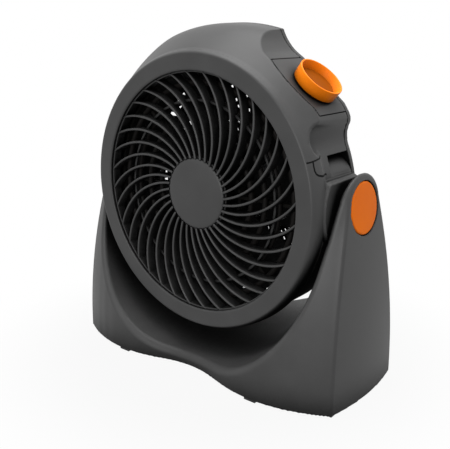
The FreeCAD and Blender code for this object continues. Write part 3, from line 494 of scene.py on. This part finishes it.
def hollow(x, y, z):
    """The hollow between the arms: its floor climbs to the back, and its sides lean out."""
    floor = FLOOR + HOLLOW_FLOOR + HOLLOW_CLIMB / FRONT_DEPTH * y
    foot = HOLLOW_FOOT + (floor - FLOOR) * math.tan(SIDE_LEAN)
    aside = x - foot + HOLLOW_BEND * math.tan((math.pi / 2 - SIDE_LEAN) / 2)
    above = z - floor - HOLLOW_BEND
    wall = (x - foot - (z - floor) * math.tan(SIDE_LEAN)) * math.cos(SIDE_LEAN)
    in_bend = (aside > 0) & (aside * math.sin(SIDE_LEAN) + above * math.cos(SIDE_LEAN) < 0)
    return np.where(in_bend, np.hypot(aside, above) - HOLLOW_BEND, np.maximum(floor - z, wall))


def base_field(x, y, z):
    """The cradle: a shell that is open below, with a boss and the seat of a cap on each arm."""
    x = np.abs(x)
    front, side = base_faces(x, y, z)
    from_pivot = np.hypot(y, z - PIVOT)
    swing_room = np.maximum(from_pivot - SWING_RADIUS, x - BOSS_FACE)
    boss = largest(from_pivot - BOSS_RADIUS, BOSS_FACE - x, x - BOSS_BACK)
    seat = np.maximum(from_pivot - CAP_RADIUS - CAP_GAP, CAP_SEAT - x)
    inside = largest(front + BASE_WALL, side + BASE_WALL, z - BASE_OPEN)
    body = both(both(front, side, BASE_EDGE), FLOOR - z, FOOT_EDGE)
    body = less(body, hollow(x, y, z), HOLLOW_EDGE)
    body = less(body, swing_room, SWING_EDGE)
    body = np.minimum(body, boss)
    body = less(body, seat, SEAT_EDGE)
    return less(body, inside, WALL_EDGE)


def cap_field(x, y, z):
    """The disc over a pivot: it follows the side of the arm."""
    x = np.abs(x)
    _, side = base_faces(x, y, z)
    disc = np.hypot(y, z - PIVOT) - CAP_RADIUS
    return np.maximum(both(disc, side + CAP_SINK, CAP_EDGE), CAP_SEAT + CAP_LIFT - x)


base = skin("cradle", base_field, (-BASE_ROOM[0], -BASE_ROOM[1], FLOOR), BASE_ROOM, BASE_STEP)
dress(base, "charcoal", "base", "base_cradle")
for side, start, end in (("right", CAP_NEAR, CAP_FAR), ("left", -CAP_FAR, -CAP_NEAR)):
    low = (start, -CAP_ROOM, PIVOT - CAP_ROOM)
    high = (end, CAP_ROOM, PIVOT + CAP_ROOM)
    cap = skin("cap_" + side, cap_field, low, high, CAP_STEP)
    dress(cap, "orange_cap", "base", "pivot_cap_" + side)

# Head: drum with its bezel, the hood that swells behind it, pads for the pivots and the control panel

# Places from front to back, and the openings

CREASE = -54.3
SEAM = 12.4
SEAM_GAP = 0.2
BACK = 17.9
OUTLET = 110.0
INLET = 115.0
GRILLE_SEAT = 116.0
VANE_FRONT = -51.8
SEAM_EDGE = 0.3
OUTLET_EDGE = 1.6
INLET_EDGE = 0.6
COVER_EDGE = 1.0

# Drum and bezel

DRUM = 126.1
FACE = 124.5
FACE_DISH = 0.4
FACE_WIDTH = 14.5
BEZEL_ROUND = 4.9
BEZEL_BACK = -39.1
BEZEL_LENGTH = BEZEL_BACK - CREASE
BEZEL = FACE + BEZEL_ROUND
SETTLE = 9.4

# Hood: its crest and the radius of its arch, as (y, size) places

HOOD_START = 4.5
HOOD_LOW = 30.0
HOOD_EDGE = 0.8
crest, crest_slope = spline([(CREASE, FACE), (-33.4, 138.7), (-13.9, 148.1), (2.0, 149.9), (BACK, 150.4)])
arch_radius, _ = spline([(CREASE, FACE), (-38.0, 134.0), (-25.0, 150.0), (-15.0, 168.0), (0.0, 182.0),
                         (BACK, 188.7)])

# Flanks of the hood: on the control side a finger grip and a finger notch, as (z, x) places over the pivot

GRIP = [(52.0, 115.0), (56.2, 115.0), (60.6, 115.3), (65.0, 116.3), (69.3, 117.2), (73.5, 116.7),
        (77.6, 114.8), (81.0, 112.6), (84.0, 110.5)]
NOTCH = [(120.6, 68.1), (122.9, 64.6), (126.2, 59.9), (130.4, 55.5), (134.6, 51.9), (143.4, 46.7)]
GRIP_STEPS = 40
NOTCH_STEPS = 24
FLANK_TOP = 170.0
FLANK_STEP = 0.25
grip, _ = spline(GRIP)
notch, _ = spline(NOTCH)
grip_z = np.linspace(GRIP[0][0], GRIP[-1][0], GRIP_STEPS)
notch_z = np.linspace(NOTCH[0][0], NOTCH[-1][0], NOTCH_STEPS)
flank_z = np.concatenate([[0.0], grip_z, notch_z, [FLANK_TOP]])
flank_x = np.concatenate([[GRIP[0][1]], grip(grip_z), notch(notch_z), [NOTCH[-1][1]]])
flank_grid = np.arange(0.0, FLANK_TOP + FLANK_STEP, FLANK_STEP)
flank_slope = np.gradient(np.interp(flank_grid, flank_z, flank_x), flank_grid)
PLAIN_SIDE = 117.2
PLAIN_SLOPE = 150.0
PLAIN_TURN = 20.0
PLAIN_EDGE = 12.0

# Pivot pads

PAD_FACE = 130.5
PAD_STEP = 4.5
PAD_RADIUS = 41.0
PAD_HEIGHT = 23.8
PAD_SLOPE = 2.0
PAD_TURN = 2.0
PAD_EDGE = 0.6

# Control panel on the sloping shoulder

SHOULDER = math.radians(49.3)
SHOULDER_OUT = 135.8
PANEL_LOW = 36.5
PANEL_HIGH = 27.0
PANEL_THICKNESS = 4.5
PANEL_INSET = 1.0
PANEL_GAP = 0.25
PANEL_EDGE = 0.3

# Finger scoop below the grip, recess above each pad, and hole of the cord gland

FINGER_X = 127.6
FINGER_SPREAD = 0.11
FINGER_Z = 60.0
FINGER_RADIUS = 13.5
FINGER_FRONT = -44.0
FINGER_TURN = 9.0
FINGER_EDGE = 2.5

WINDOW_TOP = 43.8
WINDOW_LOW = 28.0
WINDOW_FRONT = -21.0
WINDOW_INNER = 90.0
WINDOW_DEPTH = 11.0
WINDOW_POWER = 1.5
WINDOW_EDGE = 0.4

GLAND_X = -30.0
GLAND_Z = 130.0
GLAND_RADIUS = 8.1

# Room and fineness of the meshes

HEAD_HALF = 131.0
HEAD_LOW = 42.0
HEAD_TOP = 322.0
HEAD_FRONT = -55.0
HEAD_BACK = 18.0
HOUSING_STEP = 1.3
COVER_START = 12.0
COVER_STEP = 1.0
PANEL_ROOM_LOW = (64.0, -46.0, 247.0)
PANEL_ROOM_HIGH = (119.0, HEAD_BACK, 294.0)
PANEL_STEP = 0.8


def hood_arch(x, y, z):
    """The arch of the hood, flatter to the back."""
    radius = arch_radius(y)
    return (np.hypot(x, z - crest(y) + radius) - radius) / np.sqrt(1 + crest_slope(y) ** 2)


def flank(x, z):
    """The control side of the hood: finger notch, flat shoulder and finger grip."""
    edge = np.interp(z, flank_z, flank_x)
    return (x - edge) / np.sqrt(1 + np.interp(z, flank_grid, flank_slope) ** 2)


def plain_flank(x, z):
    """The other side of the hood: an upright side and a plain slope."""
    return both(-x - PLAIN_SIDE, (z - x) * math.sqrt(0.5) - PLAIN_SLOPE, PLAIN_TURN)


def drum_field(radius, y):
    """The bezel's face, its rounded edge, and the drum behind it."""
    out = radius - FACE
    ahead = BEZEL_BACK - y
    near = np.maximum(out, TINY)
    far = np.maximum(ahead, TINY)
    share = np.hypot(near / BEZEL_ROUND, far / BEZEL_LENGTH)
    edge = share * (share - 1) / np.hypot(near / BEZEL_ROUND ** 2, far / BEZEL_LENGTH ** 2)
    face = CREASE - y - FACE_DISH * np.clip(-out / FACE_WIDTH, 0, 1)
    side = radius - BEZEL + (BEZEL - DRUM) * eased((y - BEZEL_BACK) / SETTLE)
    body = np.where(ahead <= 0, side, np.where(out <= 0, face, edge))
    return np.maximum(body, y - BACK)


def pad_field(x, y, z):
    """The raised pad at the pivot: round in front, flat above and below, with sloping edges."""
    x = np.abs(x)
    slant = PAD_SLOPE * np.minimum(PAD_FACE - x, PAD_STEP) / PAD_STEP
    steep = math.hypot(1, PAD_SLOPE / PAD_STEP)
    front = (np.hypot(y, z) - PAD_RADIUS - slant) / steep
    edge = (np.abs(z) - PAD_HEIGHT - slant) / steep
    return both(both(front, edge, PAD_TURN), largest(x - PAD_FACE, y - SEAM, OUTLET - x), PAD_EDGE)


def on_panel(x, y, z):
    """The panel's room: the flat shoulder and the turn below it, just behind the crease of the flare."""
    along = -x * math.sin(SHOULDER) + z * math.cos(SHOULDER)
    out = x * math.cos(SHOULDER) + z * math.sin(SHOULDER) - SHOULDER_OUT
    flat_x = x - out * math.cos(SHOULDER)
    flat_z = z - out * math.sin(SHOULDER)
    arch = hood_arch(flat_x, y, flat_z) + PANEL_INSET
    return largest(-PANEL_LOW - along, along - PANEL_HIGH, -PANEL_THICKNESS - out, arch)


def shell_field(x, y, z):
    """The head's outside before its panel and windows are cut."""
    arch = hood_arch(x, y, z)
    control_side = both(arch, flank(x, z), HOOD_EDGE)
    plain_side = both(arch, plain_flank(x, z), PLAIN_EDGE)
    hood = np.where(x > 0, control_side, plain_side)
    hood = largest(hood, CREASE + HOOD_START - y, y - BACK, HOOD_LOW - z)
    body = either(drum_field(np.hypot(x, z), y), hood, HOOD_EDGE)
    body = either(body, pad_field(x, y, z), HOOD_EDGE)
    finger = np.hypot(x - FINGER_X - FINGER_SPREAD * y, z - FINGER_Z) - FINGER_RADIUS
    return less(body, both(finger, FINGER_FRONT - y, FINGER_TURN), FINGER_EDGE)


def housing_field(x, y, z):
    """The front housing: outlet, seat of the grille, a recess on each side and the room of the panel."""
    z = z - PIVOT
    radius = np.hypot(x, z)
    bore = np.minimum(radius - OUTLET, np.maximum(radius - GRILLE_SEAT, VANE_FRONT - y))
    climb = np.clip((z - WINDOW_LOW) / (WINDOW_TOP - WINDOW_LOW), 0, 1)
    recess = WINDOW_DEPTH * climb ** WINDOW_POWER
    window = largest(z - WINDOW_TOP, WINDOW_LOW - z, WINDOW_FRONT - y, DRUM - recess - radius,
                     WINDOW_INNER - np.abs(x))
    body = both(shell_field(x, y, z), y - SEAM, SEAM_EDGE)
    body = less(body, bore, OUTLET_EDGE)
    body = less(body, window, WINDOW_EDGE)
    return less(body, on_panel(x, y, z), PANEL_GAP)


def panel_field(x, y, z):
    """The control panel: the piece of the shoulder that fills its room."""
    z = z - PIVOT
    shoulder = np.maximum(shell_field(x, y, z), y - SEAM)
    return both(shoulder, on_panel(x, y, z) + PANEL_GAP, PANEL_EDGE)


def cover_field(x, y, z):
    """The rear cover: the last slice of the head round the air inlet."""
    z = z - PIVOT
    body = both(shell_field(x, y, z), SEAM + SEAM_GAP - y, SEAM_EDGE)
    body = both(body, y - BACK, COVER_EDGE)
    body = less(body, np.hypot(x, z) - INLET, INLET_EDGE)
    return np.maximum(body, GLAND_RADIUS - np.hypot(x - GLAND_X, z - GLAND_Z))


head_end = (HEAD_HALF, HEAD_BACK, HEAD_TOP)
housing = skin("housing", housing_field, (-HEAD_HALF, HEAD_FRONT, HEAD_LOW), head_end, HOUSING_STEP)
dress(housing, "charcoal", "head", "front_housing")
panel = skin("panel", panel_field, PANEL_ROOM_LOW, PANEL_ROOM_HIGH, PANEL_STEP)
dress(panel, "charcoal", "head", "control_panel")
cover = skin("cover", cover_field, (-HEAD_HALF, COVER_START, HEAD_LOW), head_end, COVER_STEP)
dress(cover, "charcoal", "head", "rear_housing")

# Latch: fine dark lines on the side of the drum, laid along (y, z) places

LATCH_TOP = [(-53.5, 43.0), (-40.0, 44.8), (-32.0, 45.8)]
LATCH_TAB = [(-47.5, 44.0), (-48.0, 40.0), (-48.0, 36.5), (-47.0, 34.0), (-44.5, 32.4), (-40.0, 31.4),
             (-28.0, 30.8)]
TOP_HALF = 0.6
TAB_HALF = 0.8
LINE_STEP = 0.7
LINE_CROWN = 0.1
LINE_RIM = 0.02
SEARCH_NEAR = 100.0
SEARCH_FAR = 135.0
SEARCH_STEPS = 30


def joined(name, parts):
    """One object from several runs of points and faces."""
    points = []
    faces = []
    for some, loops in parts:
        faces += [tuple(len(points) + i for i in loop) for loop in loops]
        points += list(some)
    return piece(name, points, faces)


def drum_side(y, z):
    """How far out the head's surface lies at (y, z) places on its control side."""
    near = np.full(len(y), SEARCH_NEAR)
    far = np.full(len(y), SEARCH_FAR)
    for _ in range(SEARCH_STEPS):
        middle = (near + far) / 2
        inside = shell_field(middle, y, z) < 0
        near = np.where(inside, middle, near)
        far = np.where(inside, far, middle)
    return near


def surface_line(path, half):
    """A ribbon along a path on the drum's side, as points and faces."""
    places = np.array(path, float)
    walked = np.concatenate([[0], np.cumsum(np.hypot(*np.diff(places, axis=0).T))])
    count = max(int(walked[-1] / LINE_STEP), 2)
    steps = np.linspace(0, walked[-1], count)
    y = np.interp(steps, walked, places[:, 0])
    z = np.interp(steps, walked, places[:, 1])
    run_y = np.gradient(y)
    run_z = np.gradient(z)
    length = np.hypot(run_y, run_z)
    points = []
    for aside, lift in ((-half, LINE_RIM), (0.0, LINE_CROWN), (half, LINE_RIM)):
        at_y = y - aside * run_z / length
        at_z = z + aside * run_y / length
        points += list(zip(drum_side(at_y, at_z) + lift, at_y, at_z + PIVOT))
    faces = []
    for row in range(2):
        for i in range(count - 1):
            a = row * count + i
            faces.append((a, a + 1, a + count + 1, a + count))
    return points, faces


latch = joined("latch_lines", [surface_line(LATCH_TOP, TOP_HALF), surface_line(LATCH_TAB, TAB_HALF)])
dress(latch, "inner_black", "head")

# Turned pieces

CORNER_SHARE = 0.45
CENTRE = 0.01
HEAD_CENTRE = (0.0, 0.0, PIVOT)
BACKWARD = (0.0, 1.0, 0.0)
RIGHTWARD = (1.0, 0.0, 0.0)
ALONG_AXIS = 0.9


def softened(corners, radius, steps=5):
    """A run of (radius, height) corners with each inner corner rounded."""
    corners = [np.array(corner, float) for corner in corners]
    run = [corners[0]]
    for before, corner, after in zip(corners, corners[1:], corners[2:]):
        back = before - corner
        ahead = after - corner
        cut = min(radius, CORNER_SHARE * np.linalg.norm(back), CORNER_SHARE * np.linalg.norm(ahead))
        start = corner + back / np.linalg.norm(back) * cut
        end = corner + ahead / np.linalg.norm(ahead) * cut
        for share in np.linspace(0, 1, steps):
            run.append((1 - share) ** 2 * start + 2 * share * (1 - share) * corner + share ** 2 * end)
    return run + [corners[-1]]


def turned(profile, origin, axis, count=96):
    """Points and faces of a run of (radius, height) turned about an axis."""
    axis = np.array(axis, float) / np.linalg.norm(axis)
    aside = np.cross(axis, BACKWARD if abs(axis[1]) < ALONG_AXIS else RIGHTWARD)
    aside /= np.linalg.norm(aside)
    third = np.cross(axis, aside)
    turn = np.arange(count) * 2 * math.pi / count
    around = np.cos(turn)[:, None] * aside + np.sin(turn)[:, None] * third
    rings = [np.array(origin) + radius * around + height * axis for radius, height in profile]
    faces = []
    for row in range(len(profile) - 1):
        for i in range(count):
            j = (i + 1) % count
            faces.append((row * count + i, row * count + j, (row + 1) * count + j, (row + 1) * count + i))
    return np.concatenate(rings), faces


# Front grille: swept vanes with round front edges, and their rings

VANES = 36
VANE_BACK = -42.8
VANE_HALF_FRONT = 1.15
VANE_HALF_BACK = 1.4
VANE_ROOT = 32.6
VANE_SWEEP = 73.0
VANE_STEPS = 30
ROUND_STEPS = 9
ROOT_TURN = math.radians(12.0)
SWEEP_TURN = math.radians(73.0)
RING_EDGE = 0.5
RING_EDGE_STEPS = 4
RING_COUNT = 144
RINGS = [
    dict(inner=108.7, outer=115.9, front=VANE_FRONT + 0.3),
    dict(inner=82.8, outer=85.2, front=VANE_BACK - 3.0),
    dict(inner=30.6, outer=34.6, front=VANE_FRONT + 2.5),
]


def vane_section():
    """Half-width and depth round one vane: a round front edge and flat sides that part to the back."""
    half = VANE_HALF_FRONT
    turn = np.linspace(math.pi, 0, ROUND_STEPS)
    rim = [(half * math.cos(a), VANE_FRONT + half - half * math.sin(a)) for a in turn]
    return [(-VANE_HALF_BACK, VANE_BACK)] + rim + [(VANE_HALF_BACK, VANE_BACK)]


def vane(index):
    """One vane, swept along an arc out from the hub, as points and faces."""
    section = vane_section()
    around = len(section)
    centre_u = VANE_ROOT - VANE_SWEEP * math.sin(ROOT_TURN)
    centre_v = VANE_SWEEP * math.cos(ROOT_TURN)
    turn = index * 2 * math.pi / VANES
    points = []
    for angle in np.linspace(0, SWEEP_TURN, VANE_STEPS) + ROOT_TURN - math.pi / 2:
        for aside, y in section:
            u = centre_u + (VANE_SWEEP + aside) * math.cos(angle)
            v = centre_v + (VANE_SWEEP + aside) * math.sin(angle)
            x = u * math.cos(turn) - v * math.sin(turn)
            z = u * math.sin(turn) + v * math.cos(turn)
            points.append((x, y, PIVOT + z))
    faces = []
    for row in range(VANE_STEPS - 1):
        first = row * around
        for i in range(around):
            j = (i + 1) % around
            faces.append((first + i, first + around + i, first + around + j, first + j))
    return points, faces


def ring(inner, outer, front):
    """A ring that ties the vanes, from its front to their back."""
    corners = [(inner, VANE_BACK), (inner, front), (outer, front), (outer, VANE_BACK), (inner, VANE_BACK)]
    return turned(softened(corners, RING_EDGE, RING_EDGE_STEPS), HEAD_CENTRE, BACKWARD, RING_COUNT)


grille = joined("vanes", [vane(index) for index in range(VANES)] + [ring(**sizes) for sizes in RINGS])
dress(grille, "grille_black", "head", "front_grille")

# Knob: a cup with a flaring rim on the shoulder, and on the floor of its dish a disc painted darker as shade

KNOB_DROP = 7.8
KNOB_FORWARD = 8.2
KNOB_BORE = 3.2
KNOB_LIFT = 1.6
KNOB_FOOT = 20.2
KNOB_RIM = 20.7
KNOB_LIP = 1.3
KNOB_TOP = 12.4
KNOB_EDGE = 0.5
CUP_RADIUS = 16.4
CUP_FLOOR = 5.4
CUP_RISE = 0.1
DISH_RADIUS = 16.2
DISH_SIDE = 0.4
DISH_BEVEL = 0.6
DISH_BEVEL_RISE = 0.15
DISH_CROWN = 0.7

outward = np.array([math.cos(SHOULDER), 0, math.sin(SHOULDER)])
upward = np.array([-math.sin(SHOULDER), 0, math.cos(SHOULDER)])
knob_place = outward * SHOULDER_OUT - upward * KNOB_DROP + np.array([0, -KNOB_FORWARD, PIVOT])
knob_corners = [(KNOB_BORE, KNOB_LIFT), (KNOB_FOOT, KNOB_LIFT), (KNOB_RIM, KNOB_TOP),
                (KNOB_RIM - KNOB_LIP, KNOB_TOP), (CUP_RADIUS, CUP_FLOOR + CUP_RISE), (CENTRE, CUP_FLOOR)]
knob = joined("knob_cap", [turned(softened(knob_corners, KNOB_EDGE), knob_place, outward)])
dress(knob, "orange", "dial", "knob")
# A thin disc on the cup's floor that carries the painted shade of the dish
dish_side = CUP_FLOOR + DISH_SIDE
dish_run = [(DISH_RADIUS, CUP_FLOOR), (DISH_RADIUS, dish_side),
            (DISH_RADIUS - DISH_BEVEL, dish_side + DISH_BEVEL_RISE), (CENTRE, CUP_FLOOR + DISH_CROWN)]
dish = joined("knob_floor_shade", [turned(dish_run, knob_place, outward)])
dress(dish, "orange", "dial", finish="orange_dish_shade")

# Rear grille: a dome with rows of slots, in the box of its CAD node

DOME_ROWS = 9
DOME_SECTORS = 72
DOME_BAR = 0.26
DOME_WALL = 2.4
DOME_INSET = 2.5
DOME_COLLAR = 4.0
DOME_START = 6.0
DOME_RISE = 3.2
DOME_EDGE = 110.0
DOME_CENTRE = 0.5
ROW_FIRST = 109.5
ROW_PITCH = 7.0
SLOT_HALF = 1.5
SLOT_ROWS = range(2, 2 * DOME_ROWS + 1, 2)


def perforated(run, rows, sectors, bar, wall):
    """A turned wall with slots in some rows of its run: points and faces of both skins and the slot walls."""
    turn = [(sector + side) * 2 * math.pi / sectors for sector in range(sectors) for side in (bar, 1 - bar)]
    points = []
    for depth in (0.0, wall):
        for radius, y in run:
            points += [(radius * math.cos(a), y + depth, PIVOT + radius * math.sin(a)) for a in turn]
    count = len(turn)
    other_skin = count * len(run)
    faces = []
    for row in range(len(run) - 1):
        for i in range(count):
            j = (i + 1) % count
            loop = (row * count + i, row * count + j, (row + 1) * count + j, (row + 1) * count + i)
            if row not in rows or i % 2 == 1:
                faces.append(loop)
                faces.append(tuple(other_skin + corner for corner in reversed(loop)))
            else:
                for one, two in zip(loop, loop[1:] + loop[:1]):
                    faces.append((one, other_skin + one, other_skin + two, two))
    return points, faces


def dome_profile(box):
    """The dome from its rim to its middle, with two places for each row of slots."""
    rim = box[1][0] / MM
    front = box[0][1] / MM
    back = box[1][1] / MM - DOME_INSET
    run = [(rim, front), (rim, front + DOME_COLLAR)]
    for row in range(DOME_ROWS):
        for aside in (SLOT_HALF, -SLOT_HALF):
            radius = ROW_FIRST - ROW_PITCH * row + aside
            run.append((radius, min(back, front + DOME_START + DOME_RISE * (DOME_EDGE - radius))))
    return run + [(DOME_CENTRE, back)]


dome_run = dome_profile(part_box("rear_grille"))
dome = joined("rear_dome", [perforated(dome_run, SLOT_ROWS, DOME_SECTORS, DOME_BAR, DOME_WALL)])
dress(dome, "inner_black", "head", "rear_grille")

# Hub disc: a low dome with a rounded rim, in front of the vanes

HUB_RUN = [(CENTRE, -1.0), (8.0, -0.96), (16.0, -0.8), (23.0, -0.5), (28.0, -0.15), (30.5, 0.15),
           (31.8, 0.55), (32.4, 1.1), (VANE_ROOT, 1.8), (VANE_ROOT, 2.5)]
HUB_COUNT = 128

hub_run = [(radius, VANE_FRONT + depth) for radius, depth in HUB_RUN]
hub = joined("hub", [turned(hub_run, HEAD_CENTRE, BACKWARD, HUB_COUNT)])
dress(hub, "grille_black", "head", "hub_disc")

# Stage: a pale floor that keeps the object's shadow, a studio sky, two lamps and the camera

FLOOR_HALF = 4.0
FLOOR_TONE = (0.1, 0.1, 0.1, 1.0)
FLOOR_ROUGH = 0.9
FLOOR_WHITE = 1.0
FADE_START = 0.12
FADE_END = 0.3
FADE_LEAST = 0.93

SKY_TONE = (1.0, 1.0, 1.0, 1.0)
SKY_LOW = 0.1
SKY_HIGH = 2.7
SKY_POWER = 1.5
SKY_WHITE = 1.0
GLOW_AIM = (-0.58, 0.73, 0.36)
GLOW_EDGE = 0.6
GLOW_LEVEL = 1.6

LAMP_AIM = (0.0, 0.0, 0.15)
LAMPS = {
    "top": dict(place=(-0.05, 0.05, 1.5), wide=1.2, power=16.0),
    "front": dict(place=(0.55, -1.5, 0.5), wide=0.7, power=12.0),
}

CAMERA_PLACE = (0.40125, -0.50548, 0.31740)
CAMERA_DROP = math.radians(16.05)
CAMERA_TURN = math.radians(38.91)
HALF_PICTURE = 225.0
FOCAL_LENGTH = 683.33
CLIP_START = 0.01


def background_rays(tree):
    """One for rays that show the background: straight to the camera, in a gloss or through a clear piece."""
    rays = tree.nodes.new("ShaderNodeLightPath").outputs
    shown = maths(tree, "MAXIMUM", rays["Is Camera Ray"], rays["Is Glossy Ray"])
    return maths(tree, "MAXIMUM", shown, rays["Is Transmission Ray"])


def floor_paper():
    """White paper that is plain grey to the light, and dims a little round the object's foot."""
    paper = bpy.data.materials.new("floor_paper")
    paper.use_nodes = True
    tree = paper.node_tree
    shader = tree.nodes["Principled BSDF"]
    feed(tree, shader.inputs["Base Color"], FLOOR_TONE)
    feed(tree, shader.inputs["Roughness"], FLOOR_ROUGH)
    feed(tree, shader.inputs["Specular IOR Level"], 0.0)
    white = tree.nodes.new("ShaderNodeEmission")
    feed(tree, white.inputs["Strength"], FLOOR_WHITE)
    reach = tree.nodes.new("ShaderNodeVectorMath")
    reach.operation = "LENGTH"
    feed(tree, reach.inputs[0], tree.nodes.new("ShaderNodeTexCoord").outputs["Object"])
    fade = ranged(tree, reach.outputs["Value"], FADE_START, FADE_END, FADE_LEAST, 1.0, smooth=True)
    blend = tree.nodes.new("ShaderNodeMixShader")
    feed(tree, blend.inputs["Fac"], maths(tree, "MULTIPLY", fade, background_rays(tree)))
    feed(tree, blend.inputs[1], shader.outputs["BSDF"])
    feed(tree, blend.inputs[2], white.outputs["Emission"])
    feed(tree, tree.nodes["Material Output"].inputs["Surface"], blend.outputs["Shader"])
    return paper


def lay_floor():
    corners = [(-FLOOR_HALF, -FLOOR_HALF, 0), (FLOOR_HALF, -FLOOR_HALF, 0),
               (FLOOR_HALF, FLOOR_HALF, 0), (-FLOOR_HALF, FLOOR_HALF, 0)]
    floor = bpy.data.objects.new("floor", bpy.data.meshes.new("floor"))
    floor.data.from_pydata(corners, [], [(0, 1, 2, 3)])
    floor.data.materials.append(floor_paper())
    bpy.context.scene.collection.objects.link(floor)


def studio_sky():
    """A sky that brightens upwards, with a glow behind the object to the left."""
    world = bpy.data.worlds.new("studio")
    world.use_nodes = True
    tree = world.node_tree
    place = tree.nodes.new("ShaderNodeTexCoord").outputs["Generated"]
    parts = tree.nodes.new("ShaderNodeSeparateXYZ")
    feed(tree, parts.inputs["Vector"], place)
    climb = maths(tree, "POWER", maths(tree, "MAXIMUM", parts.outputs["Z"], 0.0), SKY_POWER)
    toward = tree.nodes.new("ShaderNodeVectorMath")
    toward.operation = "DOT_PRODUCT"
    feed(tree, toward.inputs[0], place)
    feed(tree, toward.inputs[1], GLOW_AIM)
    dome_light = ranged(tree, climb, 0.0, 1.0, SKY_LOW, SKY_HIGH)
    glow = ranged(tree, toward.outputs["Value"], GLOW_EDGE, 1.0, 0.0, GLOW_LEVEL, smooth=True)
    level = tree.nodes.new("ShaderNodeMix")
    feed(tree, level.inputs["Factor"], background_rays(tree))
    feed(tree, level.inputs["A"], maths(tree, "ADD", dome_light, glow))
    feed(tree, level.inputs["B"], SKY_WHITE)
    sky = tree.nodes["Background"]
    feed(tree, sky.inputs["Color"], SKY_TONE)
    feed(tree, sky.inputs["Strength"], level.outputs["Result"])
    return world


def hang_lamp(name, place, wide, power):
    """A round soft lamp that points at the object."""
    light = bpy.data.lights.new(name, "AREA")
    light.shape = "DISK"
    light.size = wide
    light.energy = power
    holder = bpy.data.objects.new(name, light)
    bpy.context.scene.collection.objects.link(holder)
    holder.location = place
    ahead, aside, up = (aim - here for aim, here in zip(LAMP_AIM, place))
    drop = math.atan2(up, math.hypot(ahead, aside))
    holder.rotation_euler = (math.pi / 2 + drop, 0, math.atan2(aside, ahead) - math.pi / 2)


def set_camera():
    camera = bpy.data.objects.new("camera", bpy.data.cameras.new("camera"))
    bpy.context.scene.collection.objects.link(camera)
    camera.location = CAMERA_PLACE
    camera.rotation_euler = (math.pi / 2 - CAMERA_DROP, 0, CAMERA_TURN)
    camera.data.sensor_fit = "HORIZONTAL"
    camera.data.angle = 2 * math.atan(HALF_PICTURE / FOCAL_LENGTH)
    camera.data.clip_start = CLIP_START
    return camera


lay_floor()
bpy.context.scene.world = studio_sky()
for name, looks in LAMPS.items():
    hang_lamp(name, **looks)
bpy.context.scene.camera = set_camera()
bpy.context.scene.view_settings.view_transform = "Standard"
